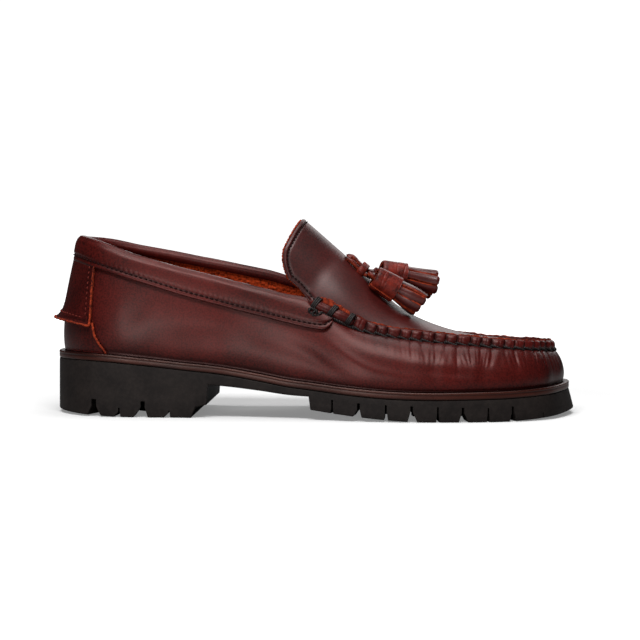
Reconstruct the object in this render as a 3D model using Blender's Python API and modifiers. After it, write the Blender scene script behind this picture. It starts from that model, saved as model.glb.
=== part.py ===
# Tassel loafer, right shoe, about EU 42, as separate closed solids.
# Frame: +X from heel to toe, +Y to the inner (medial) side, +Z up, origin on the ground
# under the middle of the shoe. Lengths are metres. Tables hold shares of the named sizes.
import math

import bmesh
import bpy
import numpy as np
from mathutils import Matrix, Vector

# Driving sizes of the last and the sole
SOLE_LENGTH = 0.2985
BALL_WIDTH = 0.107
HEEL_WIDTH = 0.074
HEEL_HEIGHT = 0.036
BALL_HEIGHT = 0.0165
TOE_SPRING = 0.0025
QUARTER_HEIGHT = 0.0645
INSTEP_RISE = 0.096
LIP_BEHIND = 0.0030

# Thicknesses and clearances
MIDSOLE_THICKNESS = 0.004
MIDSOLE_BEAD = 0.0008
INSOLE_THICKNESS = 0.003
WALL = 0.002
OVERLAY = 0.0018
GAP = 0.0003
SKIN_GAP = 0.00035
INSOLE_CLEARANCE = 0.0014

# Sole: flares, bevel, breast, waist and lugs
TOE_FLARE = 0.0028
UPPER_EDGE_INSET = 0.35
TREAD_BEVEL = 0.001
HEEL_LIFT = 0.0018
BALL_LIFT = 0.0057
TOE_LIFT = 0.003
BREAST_SLANT = 0.0038
WAIST_REAR_THICKNESS = 0.0069
WAIST_FRONT_THICKNESS = 0.0038
LUG_HEIGHT = 0.010
GROOVE_REACH = 0.0165
LUG_RING = 0.0155
WIDE_MOUTH = 0.0056
WIDE_ROOT = 0.0024
SLOT_WIDTH = 0.0013
CENTRE_LUG_RADIUS = 0.0088

# Upper: section bulge, collar, overlays, tongue, seam
WELT_MARGIN = 0.0045
WALL_BULGE = 0.0048
BAND_DEPTH = 0.014
ROLL_RISE = 0.0029
ROLL_SWELL = 0.0006
LINING_THICKNESS = 0.0022
LINING_DEPTH = 0.008
LIP_FLARE = 0.0052
TAB_EDGE = 0.072
TAB_FOOT = 0.285
TAB_FOOT_DROP = 0.045
COUNTER_EDGES = (0.101, 0.087, 0.079, 0.075)
COUNTER_GAP = 0.0005
TONGUE_DEPTH = 0.031
SEAM_HEIGHT = 0.0062
SEAM_WIDTH = 0.0042
SEAM_GAP = 0.0008
PLEAT_DEPTH = 0.0008
PLEAT_COUNT = 45

# Tassels
STRAP_WIDTH = 0.003
STRAP_THICKNESS = 0.0015
CAP_RADIUS_TOP = 0.0062
CAP_RADIUS_END = 0.0074
CAP_WALL = 0.0012
CAP_RECESS = 0.003
OUTER_STRIPS = 7
INNER_STRIPS = 5
STRIP_WIDTH = 0.0042
STRIP_THICKNESS = 0.0012
FRINGE_SPLAY = 0.0022

# Stations
THROAT = 0.493
REAR_STEPS = 16
FRONT_STEPS = 18
RUNG_STEPS = 10
TONGUE_STEPS = 6
SOLE_STEPS = 33
FRONT_SPACING_POWER = 1.25
ROW_SHARES = (0.0, 0.10, 0.24, 0.40, 0.56, 0.70, 0.82, 0.92, 1.0)
TOP_ROW = len(ROW_SHARES) - 1

HEEL_X = -(SOLE_LENGTH + TOE_FLARE * (1 - UPPER_EDGE_INSET) - LIP_BEHIND) / 2
WAIST_REAR = 0.294
WAIST_FRONT = 0.4866
BALL_REAR = 0.490
FEATURE_SHARES = (0.2634, 0.272, 0.2886, WAIST_REAR, WAIST_FRONT, BALL_REAR)
HEEL_FLAT_START = 0.16
BALL_FLAT_START = 0.698
BALL_FLAT_END = 0.825

UP = np.array([0.0, 0.0, 1.0])


def smooth_curve(xs, ys, x):
    """Value at x of a cubic curve through the points, with parabolic tangents."""
    step = np.diff(xs)
    slope = np.diff(ys) / step
    tangent = np.empty(len(xs))
    tangent[1:-1] = (slope[:-1] * step[1:] + slope[1:] * step[:-1]) / (step[1:] + step[:-1])
    tangent[0] = 1.5 * slope[0] - 0.5 * tangent[1]
    tangent[-1] = 1.5 * slope[-1] - 0.5 * tangent[-2]
    cell = np.clip(np.searchsorted(xs, x, side="right") - 1, 0, len(step) - 1)
    t = (x - xs[cell]) / step[cell]
    rise = (ys[cell + 1] - ys[cell]) * t * t * (3 - 2 * t)
    bend = step[cell] * (tangent[cell] * t * (1 - t) ** 2 - tangent[cell + 1] * t * t * (1 - t))
    return ys[cell] + rise + bend


def angle_of(share):
    """Angle along a half circle whose shadow is the share, so that ends come out round."""
    return np.arccos(1 - 2 * np.clip(share, 0, 1))


def share_of(angle):
    return (1 - np.cos(angle)) / 2


class Table:
    """Rows of shares with named columns, read on a smooth curve through the rows."""

    def __init__(self, columns, rows, round_ends=False):
        self.columns = columns.split()
        self.rows = np.array(rows, dtype=float)
        self.place = angle_of if round_ends else np.asarray

    def __call__(self, name, at):
        values = self.rows[:, self.columns.index(name)]
        return smooth_curve(self.place(self.rows[:, 0]), values, self.place(np.asarray(at, dtype=float)))


# Plan of the sole, as shares of the local half width
OUTLINE = Table("at lateral medial", (
    (0.000, 0.054, 0.054),
    (0.027, -0.560, 0.650),
    (0.060, -0.810, 0.890),
    (0.121, -0.960, 1.000),
    (0.201, -0.992, 0.981),
    (0.285, -1.008, 0.932),
    (0.369, -1.015, 0.839),
    (0.470, -0.989, 0.770),
    (0.560, -1.007, 0.856),
    (0.638, -0.999, 0.933),
    (0.711, -1.000, 0.996),
    (0.805, -0.950, 0.972),
    (0.889, -0.815, 0.860),
    (0.950, -0.560, 0.660),
    (0.980, -0.265, 0.480),
    (1.000, 0.150, 0.150),
), round_ends=True)

# Top of the midsole: rise as a share of heel height over ball height, spring of the toe spring
SOLE_TOP = Table("at rise spring", (
    (0.000, 0.985, 0.00),
    (0.054, 1.000, 0.00),
    (0.097, 0.975, 0.00),
    (0.168, 0.885, 0.00),
    (0.242, 0.765, 0.00),
    (0.315, 0.650, 0.00),
    (0.396, 0.450, 0.00),
    (0.450, 0.300, 0.00),
    (0.487, 0.240, 0.00),
    (0.560, 0.120, 0.00),
    (0.634, 0.030, 0.00),
    (0.708, 0.000, 0.00),
    (0.782, 0.000, 0.08),
    (0.859, 0.000, 0.24),
    (0.919, 0.000, 0.56),
    (1.000, 0.000, 1.00),
))

# Distance from the sole's edge in to the upper, as a share of the welt margin
MARGIN = Table("at margin", (
    (0.00, 1.04),
    (0.07, 0.93),
    (0.13, 0.71),
    (0.30, 0.67),
    (0.50, 0.67),
    (0.70, 0.75),
    (0.88, 0.90),
    (1.00, 1.00),
))

# Upper edge of the wall: the collar's rim to the throat, then the apron seam. Plan as shares
# of half the ball width, heights above the midsole as shares of the quarter height
TOP_LINE = Table("at along lateral medial lateral_height medial_height", (
    (0.000, 0.044, 0.047, 0.047, 0.986, 0.986),
    (0.034, 0.056, -0.178, 0.262, 0.985, 0.979),
    (0.084, 0.091, -0.355, 0.411, 0.949, 0.966),
    (0.151, 0.151, -0.464, 0.505, 0.887, 0.930),
    (0.235, 0.232, -0.527, 0.551, 0.824, 0.899),
    (0.336, 0.332, -0.561, 0.542, 0.761, 0.859),
    (0.436, 0.436, -0.593, 0.561, 0.721, 0.833),
    (0.493, 0.493, -0.617, 0.589, 0.675, 0.783),
    (0.527, 0.527, -0.636, 0.611, 0.598, 0.684),
    (0.570, 0.569, -0.645, 0.626, 0.511, 0.560),
    (0.638, 0.636, -0.645, 0.636, 0.461, 0.468),
    (0.721, 0.721, -0.636, 0.636, 0.420, 0.400),
    (0.805, 0.805, -0.612, 0.625, 0.383, 0.348),
    (0.872, 0.866, -0.550, 0.580, 0.353, 0.318),
    (0.923, 0.908, -0.415, 0.505, 0.326, 0.300),
    (0.966, 0.942, -0.190, 0.390, 0.303, 0.289),
    (1.000, 0.962, 0.140, 0.140, 0.284, 0.284),
), round_ends=True)

# Section of the wall: outward bulge as a share of the wall bulge, and how round it closes in
SECTION = Table("at lateral_bulge medial_bulge roundness", (
    (0.00, 0.62, 0.62, 0.00),
    (0.12, 0.76, 0.70, 0.05),
    (0.25, 0.67, 0.55, 0.10),
    (0.40, 0.56, 0.45, 0.20),
    (0.49, 0.50, 0.45, 0.45),
    (0.57, 0.42, 0.42, 0.80),
    (0.70, 0.33, 0.33, 1.00),
    (0.85, 0.31, 0.31, 1.00),
    (1.00, 0.25, 0.25, 1.00),
))

# Crest of the apron over each section: place, height as a share of the instep rise, roundness
CREST = Table("at along height roundness", (
    (0.493, 0.560, 0.771, 1.00),
    (0.527, 0.583, 0.702, 1.00),
    (0.570, 0.612, 0.613, 0.95),
    (0.638, 0.659, 0.478, 0.85),
    (0.721, 0.725, 0.373, 0.60),
    (0.805, 0.805, 0.303, 0.35),
    (0.872, 0.866, 0.282, 0.20),
    (0.923, 0.906, 0.269, 0.10),
    (0.966, 0.941, 0.254, 0.00),
    (1.000, 0.962, 0.212, 0.00),
))
TONGUE_TIP_ALONG = 0.474
TONGUE_TIP_HEIGHT = 1.0
TONGUE_SIDE_AT = 0.436

# Top edge of the tongue: its reach at each turn away from the crest
TONGUE_TOP = Table("turn reach", (
    (0.00, 1.000),
    (0.50, 0.980),
    (0.66, 0.940),
    (0.77, 0.900),
    (0.87, 0.800),
    (0.94, 0.680),
    (1.00, 0.530),
))

# Collar band: how far it hangs below the wall's edge, as a share of the band depth
BAND = Table("at depth", (
    (0.000, 0.86),
    (0.067, 0.96),
    (0.180, 0.95),
    (0.260, 1.01),
    (0.375, 1.04),
    (0.440, 1.02),
    (0.493, 0.97),
    (0.514, 0.76),
    (0.534, 0.42),
))
BAND_END = 0.531
BAND_UNDER_SEAM = 0.0034

# Raised seam: height as a share of the seam height
SEAM = Table("at height", (
    (0.493, 1.05),
    (0.527, 1.40),
    (0.560, 1.35),
    (0.600, 1.05),
    (0.700, 1.00),
    (0.870, 0.90),
    (1.000, 0.98),
))

# Edge grooves: place, roof above the ground as a share of the lug height, one if wide
GROOVES = (
    (0.079, 1.00, 1),
    (0.128, 0.55, 0),
    (0.173, 0.93, 1),
    (0.223, 0.40, 0),
    (0.531, 1.18, 0),
    (0.580, 1.04, 1),
    (0.631, 0.96, 0),
    (0.679, 0.91, 1),
    (0.728, 0.87, 0),
    (0.775, 0.84, 1),
    (0.823, 0.80, 0),
    (0.870, 0.86, 1),
    (0.929, 0.43, 0),
)

# Recesses inside the ring of edge lugs: first and last place, roof as a share of the lug height
RECESSES = (
    (0.078, 0.222, 0.80),
    (0.545, 0.900, 0.88),
)

# Centre lugs: place along, place across as a share of half the ball width
CENTRE_LUGS = (
    (0.115, 0.02), (0.183, 0.00),
    (0.583, -0.06), (0.648, -0.25), (0.648, 0.17),
    (0.713, -0.40), (0.713, 0.01), (0.713, 0.42),
    (0.778, -0.21), (0.778, 0.23),
    (0.843, -0.21), (0.843, 0.23),
)

# Thong and tassels: down the apron's crest from the throat, across to the outer side, out
# from the leather
THONG_FAR = (
    (0.0003, 0.0040, 0.0014), (0.0018, 0.0010, 0.0032), (0.0090, 0.0028, 0.0034),
    (0.0122, 0.0044, 0.0030), (0.0150, 0.0040, 0.0030), (0.0186, 0.0016, 0.0050),
)
THONG_NEAR = (
    (0.0006, 0.0086, 0.0014), (0.0035, 0.0098, 0.0016), (0.0084, 0.0098, 0.0024),
    (0.0114, 0.0086, 0.0030), (0.0140, 0.0100, 0.0028), (0.0166, 0.0122, 0.0044),
)
CAP_NEAR = ((0.0188, 0.0140, 0.0074), (0.0348, 0.0138, 0.0088))
CAP_FAR = ((0.0206, -0.0010, 0.0090), (0.0328, -0.0032, 0.0166))
FRINGE_LENGTH_NEAR = 0.0160
FRINGE_LENGTH_FAR = 0.0190
KEEPER_SECTION = (0.0006, 0.0016)
KEEPER_AT = 3


def ramp(share, start, end):
    """Zero before start, one from end on; works in both directions."""
    return np.clip((share - start) / (end - start), 0, 1)


def ease(t):
    t = np.clip(t, 0, 1)
    return t * t * (3 - 2 * t)


def x_at(share):
    return HEEL_X + np.asarray(share) * SOLE_LENGTH


def share_at(x):
    return (x - HEEL_X) / SOLE_LENGTH


def unit(vector):
    vector = np.asarray(vector, dtype=float)
    return vector / np.linalg.norm(vector, axis=-1, keepdims=True)


def half_width(share):
    blend = ease(ramp(share, 0.32, 0.67))
    return (HEEL_WIDTH + (BALL_WIDTH - HEEL_WIDTH) * blend) / 2


def sole_top(share):
    heel_over_ball = HEEL_HEIGHT - BALL_HEIGHT
    return BALL_HEIGHT + heel_over_ball * SOLE_TOP("rise", share) + TOE_SPRING * SOLE_TOP("spring", share)


def outsole_top(share):
    return sole_top(share) - MIDSOLE_THICKNESS - GAP


def tread(share):
    """Underside of the heel and forefoot: flat where the shoe stands, rolled up beyond."""
    heel = HEEL_LIFT * ramp(share, HEEL_FLAT_START, 0) ** 1.5
    ball = BALL_LIFT * ramp(share, BALL_FLAT_START, BALL_REAR) ** 1.5
    toe = TOE_LIFT * ramp(share, BALL_FLAT_END, 1) ** 1.8
    return np.where(share < WAIST_REAR, heel, ball + toe)


def underside(share):
    """Underside of the outsole with the arch between heel breast and forefoot."""
    mix = ramp(share, WAIST_REAR, WAIST_FRONT)
    thickness = WAIST_REAR_THICKNESS + (WAIST_FRONT_THICKNESS - WAIST_REAR_THICKNESS) * mix
    waist = outsole_top(share) - thickness
    breast = ramp(share, FEATURE_SHARES[0], WAIST_REAR) ** 0.8 * (outsole_top(WAIST_REAR) - WAIST_REAR_THICKNESS)
    arch = np.where(share < WAIST_REAR, breast, waist)
    in_arch = (share > FEATURE_SHARES[0]) & (share < (WAIST_FRONT + BALL_REAR) / 2)
    return np.where(in_arch, arch, tread(share))


def outline(shares, inset):
    """Outer and inner side of the sole's plan at the shares, moved in by inset."""
    half = half_width(shares)
    sides = []
    for side in ("lateral", "medial"):
        sides.append(np.column_stack([x_at(shares), half * OUTLINE(side, shares)]))
    inset = np.broadcast_to(inset, len(shares))
    moved = []
    step = 0.004
    for side, sign in (("lateral", 1), ("medial", -1)):
        angle = angle_of(shares)
        ahead = share_of(np.clip(angle + step, 0, np.pi))
        behind = share_of(np.clip(angle - step, 0, np.pi))
        dx = x_at(ahead) - x_at(behind)
        dy = half_width(ahead) * OUTLINE(side, ahead) - half_width(behind) * OUTLINE(side, behind)
        normal = unit(np.column_stack([-dy * sign, dx * sign]))
        at_heel = angle < step
        at_toe = angle > np.pi - step
        normal[at_heel] = (1, 0)
        normal[at_toe] = (-1, 0)
        base = sides[0] if side == "lateral" else sides[1]
        moved.append(base + normal * inset[:, None])
    return moved


def sole_shares():
    """Stations of the sole, close together at the round ends and at the breast and arch."""
    even = share_of(np.linspace(0, np.pi, SOLE_STEPS + 1))
    kept = [a for a in even if min(abs(a - f) for f in FEATURE_SHARES) > 0.010]
    return np.array(sorted(kept + list(FEATURE_SHARES)))


def ring(shares, inset, height, shift=0.0):
    """Closed ring of points: outer side from heel to toe, inner side back again."""
    lateral, medial = outline(shares, inset)
    z = height(shares)
    low = np.column_stack([lateral, z])
    high = np.column_stack([medial[:, 0] + shift, medial[:, 1], z])
    return np.vstack([low, high[::-1]])


def build_mesh(name, points, faces, weld=1e-7):
    """Mesh from computed points and faces, welded, with its faces pointing out."""
    mesh = bpy.data.meshes.new(name)
    mesh.from_pydata([tuple(map(float, p)) for p in points], [], faces)
    work = bmesh.new()
    work.from_mesh(mesh)
    bmesh.ops.remove_doubles(work, verts=work.verts, dist=weld)
    bmesh.ops.recalc_face_normals(work, faces=work.faces)
    work.to_mesh(mesh)
    work.free()
    return mesh


def ring_stack_mesh(name, rings):
    """Closed solid between rings of equal length, capped by rungs from side to side."""
    count = len(rings[0])
    points = np.vstack(rings)
    faces = []
    for level in range(len(rings) - 1):
        low, high = level * count, (level + 1) * count
        for i in range(count):
            j = (i + 1) % count
            faces.append((low + i, low + j, high + j, high + i))
    for start in (0, (len(rings) - 1) * count):
        for i in range(count // 2 - 1):
            faces.append((start + i, start + i + 1, start + count - 2 - i, start + count - 1 - i))
    return build_mesh(name, points, faces)


def loft_mesh(name, sections):
    """Closed solid through a row of closed sections, with a face at each end."""
    rows, count = len(sections), len(sections[0])
    points = np.vstack(sections)
    faces = []
    for row in range(rows - 1):
        for i in range(count):
            j = (i + 1) % count
            a, b = row * count, (row + 1) * count
            faces.append((a + i, a + j, b + j, b + i))
    faces.append(tuple(range(count)))
    faces.append(tuple(range((rows - 1) * count, rows * count)))
    return build_mesh(name, points, faces)


def grid_faces(rows, columns, start=0):
    faces = []
    for r in range(rows - 1):
        for c in range(columns - 1):
            a = start + r * columns + c
            faces.append((a, a + 1, a + columns + 1, a + columns))
    return faces


def sheet_mesh(name, inner, outer):
    """Closed sheet between two grids of points of the same shape."""
    rows, columns = inner.shape[:2]
    points = np.vstack([inner.reshape(-1, 3), outer.reshape(-1, 3)])
    top = rows * columns
    faces = grid_faces(rows, columns) + grid_faces(rows, columns, top)
    border = [c for c in range(columns)]
    border += [r * columns + columns - 1 for r in range(1, rows)]
    border += [(rows - 1) * columns + c for c in range(columns - 2, -1, -1)]
    border += [r * columns for r in range(rows - 2, 0, -1)]
    for i, a in enumerate(border):
        b = border[(i + 1) % len(border)]
        faces.append((a, b, b + top, a + top))
    return build_mesh(name, points, faces)


class Shoe:
    """The scene side: collections, materials and objects."""

    def __init__(self):
        self.parts = self.collection("tassel_loafer")
        self.cutters = self.collection("cutters")

    def collection(self, name, parent=None):
        made = bpy.data.collections.new(name)
        (parent or bpy.context.scene.collection).children.link(made)
        return made

    def add(self, name, mesh, material, collection=None, sharp=35):
        made = bpy.data.objects.new(name, mesh)
        (collection or self.parts).objects.link(made)
        if material:
            mesh.materials.append(material)
        mesh.shade_smooth()
        mesh.set_sharp_from_angle(angle=math.radians(sharp))
        return made

    def cutter(self, name, mesh, collection):
        made = bpy.data.objects.new(name, mesh)
        collection.objects.link(made)
        made.hide_render = True
        made.display_type = "WIRE"
        return made


def material(name, colour, roughness, metallic=0.0):
    made = bpy.data.materials.new(name)
    made.use_nodes = True
    shader = made.node_tree.nodes["Principled BSDF"]
    shader.inputs["Base Color"].default_value = (*colour, 1.0)
    shader.inputs["Roughness"].default_value = roughness
    shader.inputs["Metallic"].default_value = metallic
    return made


# Upper surface


class Upper:
    """Outer surface of the upper as grids of points that every overlay is cut from.

    Wall columns are counted from the back: negative to the outer side, positive to the inner
    side, and the toe is the last one on both sides. Wall rows run from the midsole up."""

    def __init__(self):
        throat = angle_of(THROAT)
        rear = np.linspace(0, throat, REAR_STEPS + 1)
        even = np.linspace(0, 1, FRONT_STEPS + 1)[1:]
        front = throat + (np.pi - throat) * even ** FRONT_SPACING_POWER
        self.shares = share_of(np.concatenate([rear, front]))
        self.last = REAR_STEPS + FRONT_STEPS
        self.wall = self.wall_grid()
        self.wall_normals = self.normals(self.wall)
        self.rungs = self.apron_rungs()
        self.tongue = self.tongue_rows()

    def wall_grid(self):
        shares = self.shares
        margin = WELT_MARGIN * MARGIN("margin", shares)
        grid = np.empty((2 * self.last + 1, len(ROW_SHARES), 3))
        bottoms = outline(shares, margin)
        roundness = np.clip(SECTION("roundness", shares), 0, 1)
        along = x_at(TOP_LINE("along", shares))
        for side, name in enumerate(("lateral", "medial")):
            bottom = bottoms[side]
            y = BALL_WIDTH / 2 * TOP_LINE(name, shares)
            foot = sole_top(share_at(bottom[:, 0])) + SKIN_GAP
            head = sole_top(share_at(along)) + QUARTER_HEIGHT * TOP_LINE(name + "_height", shares)
            bulge = WALL_BULGE * SECTION(name + "_bulge", shares)
            outward = unit(bottom - outline(shares, margin + 0.002)[side])
            for row, t in enumerate(ROW_SHARES):
                closing = roundness * (1 - math.sqrt(1 - t * t)) + (1 - roundness) * t
                plan = bottom + (np.column_stack([along, y]) - bottom) * closing[:, None]
                plan = plan + outward * (bulge * math.sin(math.pi * t ** 0.7))[:, None]
                height = foot + (head - foot) * t
                points = np.column_stack([plan, height])
                if side == 0:
                    grid[self.last::-1, row] = points
                else:
                    grid[self.last:, row] = points
        return grid

    def normals(self, grid):
        """Outward unit normals of the wall; its two end columns are both the toe."""
        around = np.empty_like(grid)
        around[1:-1] = grid[2:] - grid[:-2]
        around[0] = around[-1] = grid[1] - grid[-2]
        upward = np.gradient(grid, axis=1)
        return unit(np.cross(around, upward) * -1)

    def at(self, column, row, offset=0.0, up=0.0):
        """Point over the faceted wall at a fractional column and row."""
        c = np.clip(column + self.last, 0, 2 * self.last)
        r = np.clip(row, 0, TOP_ROW)
        point = bilinear(self.wall, c, r)
        normal = unit(bilinear(self.wall_normals, c, r))
        return point + normal * offset + UP * up

    def row_of(self, column, drop):
        """Row that lies drop below the wall's edge at a column."""
        c = np.clip(column + self.last, 0, 2 * self.last)
        top = bilinear(self.wall, c, TOP_ROW)[2]
        foot = bilinear(self.wall, c, 0)[2]
        return self.row_at(1 - drop / (top - foot))

    def row_at(self, t):
        return float(np.interp(t, ROW_SHARES, range(len(ROW_SHARES))))

    def column_of(self, share):
        return float(np.interp(share, self.shares, range(len(self.shares))))

    def apron_rungs(self):
        """Rows across the apron, from the throat to the last one before the toe."""
        turn = np.linspace(-np.pi / 2, np.pi / 2, RUNG_STEPS + 1)
        v = np.sin(turn)
        rungs = []
        for step in range(FRONT_STEPS):
            share = self.shares[REAR_STEPS + step]
            lateral = self.wall[self.last - REAR_STEPS - step, TOP_ROW]
            medial = self.wall[self.last + REAR_STEPS + step, TOP_ROW]
            roundness = np.clip(CREST("roundness", share), 0, 1)
            crest = np.array([x_at(CREST("along", share)), (lateral[1] + medial[1]) / 2,
                              BALL_HEIGHT + INSTEP_RISE * CREST("height", share)])
            drop = roundness * (1 - np.sqrt(1 - v * v + 1e-12)) + (1 - roundness) * v * v
            rung = []
            for k in range(len(v)):
                edge = lateral if v[k] < 0 else medial
                point = crest + (edge - crest) * drop[k]
                point[1] = crest[1] + (edge[1] - crest[1]) * abs(v[k])
                rung.append(point)
            rung[0] = lateral
            rung[-1] = medial
            rungs.append(rung)
        return np.array(rungs)

    def tongue_frame(self):
        """Throat of the crest, direction up the tongue, its length, direction down to its sides."""
        crest = self.rungs[0][RUNG_STEPS // 2]
        tip = np.array([x_at(TONGUE_TIP_ALONG), crest[1], BALL_HEIGHT + INSTEP_RISE * TONGUE_TIP_HEIGHT])
        length = np.linalg.norm(tip - crest)
        direction = (tip - crest) / length
        down = np.array([-direction[2], 0, direction[0]])
        return crest, direction, length, down

    def tongue_rows(self):
        """Rows of the free tongue above the throat, narrowing to its rounded top edge."""
        crest, direction, length, down = self.tongue_frame()
        base = self.rungs[0]
        turn = np.linspace(-1, 1, RUNG_STEPS + 1)
        reach = length * TONGUE_TOP("reach", np.abs(turn))
        inward = WALL + 3 * GAP
        sides = {}
        for sign, name in ((-1, "lateral"), (1, "medial")):
            y = BALL_WIDTH / 2 * TOP_LINE(name, TONGUE_SIDE_AT)
            sides[sign] = y - sign * inward - crest[1]
        rows = []
        for step in range(1, TONGUE_STEPS + 1):
            row = []
            for k in range(RUNG_STEPS + 1):
                far = reach[k] * step / TONGUE_STEPS
                sign = -1 if turn[k] < 0 else 1
                edge = base[0] if sign < 0 else base[-1]
                fold = math.cos(turn[k] * math.pi / 2)
                lean = ease(far / (0.35 * length))
                side = (edge - crest) * np.array([1, 0, 1]) * (1 - lean) + down * TONGUE_DEPTH * lean
                tuck = ease(far / 0.004)
                y = (edge[1] - crest[1]) * (1 - tuck) + sides[sign] * tuck
                point = crest + direction * far + side * (1 - fold)
                point[1] = crest[1] + y * abs(math.sin(turn[k] * math.pi / 2))
                row.append(point)
            rows.append(row)
        return np.array(rows)

    def mesh(self):
        """Open surface of wall, apron and tongue, welded along the seam and the throat."""
        wall = self.wall
        points = [wall.reshape(-1, 3)]
        faces = grid_faces(wall.shape[0], wall.shape[1])
        start = wall.shape[0] * wall.shape[1]
        rungs = self.rungs
        points.append(rungs.reshape(-1, 3))
        faces += grid_faces(rungs.shape[0], rungs.shape[1], start)
        last_rung = start + (len(rungs) - 1) * (RUNG_STEPS + 1)
        tip = TOP_ROW
        for k in range(RUNG_STEPS):
            faces.append((last_rung + k, last_rung + k + 1, tip))
        start += rungs.shape[0] * rungs.shape[1]
        tongue = np.concatenate([rungs[:1], self.tongue])
        points.append(tongue.reshape(-1, 3))
        faces += grid_faces(tongue.shape[0], tongue.shape[1], start)
        return build_mesh("upper", np.vstack(points), faces, weld=1e-6)


def bilinear(grid, column, row):
    c = min(int(column), grid.shape[0] - 2)
    r = min(int(row), grid.shape[1] - 2)
    u, v = column - c, row - r
    low = grid[c, r] * (1 - u) + grid[c + 1, r] * u
    high = grid[c, r + 1] * (1 - u) + grid[c + 1, r + 1] * u
    return low * (1 - v) + high * v


def make_upper(shoe, upper, leather):
    made = shoe.add("upper", upper.mesh(), leather, sharp=60)
    shell = made.modifiers.new("wall", "SOLIDIFY")
    shell.thickness = WALL
    shell.offset = -1
    shell.use_even_offset = False
    return made


# Sole


def toe_flare(shares):
    return TOE_FLARE * ramp(shares, 0.75, 1.0) ** 1.5


def make_midsole(shoe, brown):
    shares = sole_shares()
    inset = UPPER_EDGE_INSET * toe_flare(shares)

    def lower(s):
        return sole_top(s) - MIDSOLE_THICKNESS

    def shoulder(s):
        return sole_top(s) - MIDSOLE_BEAD

    rings = (ring(shares, inset, lower), ring(shares, inset, shoulder),
             ring(shares, inset + MIDSOLE_BEAD, sole_top))
    return shoe.add("midsole", ring_stack_mesh("midsole", rings), brown)


def make_insole(shoe, leather):
    shares = share_of(np.linspace(0, np.pi, 21))
    inset = WELT_MARGIN * MARGIN("margin", shares) + WALL + INSOLE_CLEARANCE
    lateral, medial = outline(shares, inset)

    def ring_at(lift):
        rows = []
        for side in (lateral, medial[::-1]):
            rows.append(np.column_stack([side, sole_top(share_at(side[:, 0])) + lift]))
        return np.vstack(rows)

    rings = (ring_at(GAP), ring_at(GAP + INSOLE_THICKNESS))
    return shoe.add("insole", ring_stack_mesh("insole", rings), leather)


def make_outsole(shoe, rubber):
    shares = sole_shares()
    slant = BREAST_SLANT * ease(ramp(shares, 0.18, 0.25)) * ease(ramp(shares, 0.40, 0.30))

    def low_edge(s):
        return underside(s) + TREAD_BEVEL

    flare = toe_flare(shares)
    inset = UPPER_EDGE_INSET * flare
    rings = (ring(shares, inset, outsole_top), ring(shares, inset - flare, low_edge, slant),
             ring(shares, inset - flare + TREAD_BEVEL, underside, slant))
    made = shoe.add("outsole", ring_stack_mesh("outsole", rings), rubber)
    operands = (("recesses", recess_cutters, "DIFFERENCE"), ("grooves", groove_cutters, "DIFFERENCE"),
                ("centre_lugs", centre_lugs, "UNION"))
    for name, make, operation in operands:
        group = shoe.collection(name, shoe.cutters)
        make(shoe, group)
        for operand in group.objects:
            cut = made.modifiers.new(operand.name, "BOOLEAN")
            cut.operation = operation
            cut.solver = "EXACT"
            cut.object = operand
    return made


def groove_cutters(shoe, group):
    """A wedge for each edge groove, square to the sole's edge, on both sides."""
    outside = 0.006
    for number, (at, roof_share, wide) in enumerate(GROOVES):
        at = np.array([at - 0.004, at, at + 0.004])
        roof = LUG_HEIGHT * roof_share
        mouth = WIDE_MOUTH if wide else SLOT_WIDTH
        root = WIDE_ROOT if wide else SLOT_WIDTH
        for side, edge in zip(("lateral", "medial"), outline(at, 0.0)):
            along = unit(edge[2] - edge[0])
            inward = np.array([-along[1], along[0]]) * (1 if side == "lateral" else -1)
            floor = -0.002
            spread = mouth + (mouth - root) * (-floor) / roof
            points = []
            for z, width in ((floor, spread), (roof, root)):
                for reach in (-outside, GROOVE_REACH):
                    for half in (-width / 2, width / 2):
                        plan = edge[1] + inward * reach + along * half
                        points.append((plan[0], plan[1], z))
            faces = [(0, 1, 3, 2), (4, 5, 7, 6), (0, 1, 5, 4), (2, 3, 7, 6), (0, 2, 6, 4), (1, 3, 7, 5)]
            name = "groove_%s_%02d" % (side, number)
            shoe.cutter(name, build_mesh(name, points, faces), group)


def recess_cutters(shoe, group):
    """The hollow inside the ring of edge lugs, under heel and forefoot."""
    for number, (first, last, roof_share) in enumerate(RECESSES):
        shares = np.linspace(first, last, 9)
        roof = LUG_HEIGHT * roof_share
        rings = (ring(shares, LUG_RING, lambda s: 0 * s - 0.002), ring(shares, LUG_RING, lambda s: 0 * s + roof))
        name = "recess_%d" % number
        shoe.cutter(name, ring_stack_mesh(name, rings), group)


def centre_lugs(shoe, group):
    """Four-pointed stars that stand in the recesses down to the tread."""
    for number, (at, across) in enumerate(CENTRE_LUGS):
        radius = CENTRE_LUG_RADIUS
        centre = (x_at(at), BALL_WIDTH / 2 * across)
        foot = float(tread(np.array([at]))[0])
        points = []
        for z in (foot, outsole_top(at) - 0.002):
            for k in range(8):
                reach = radius if k % 2 == 0 else radius * 0.62
                points.append((centre[0] + reach * math.cos(k * math.pi / 4),
                               centre[1] + reach * math.sin(k * math.pi / 4), float(z)))
        faces = [tuple(range(8)), tuple(range(8, 16))]
        faces += [(k, (k + 1) % 8, (k + 1) % 8 + 8, k + 8) for k in range(8)]
        name = "centre_lug_%02d" % number
        shoe.cutter(name, build_mesh(name, points, faces), group)


# Overlays cut from the upper's own surface


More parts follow.
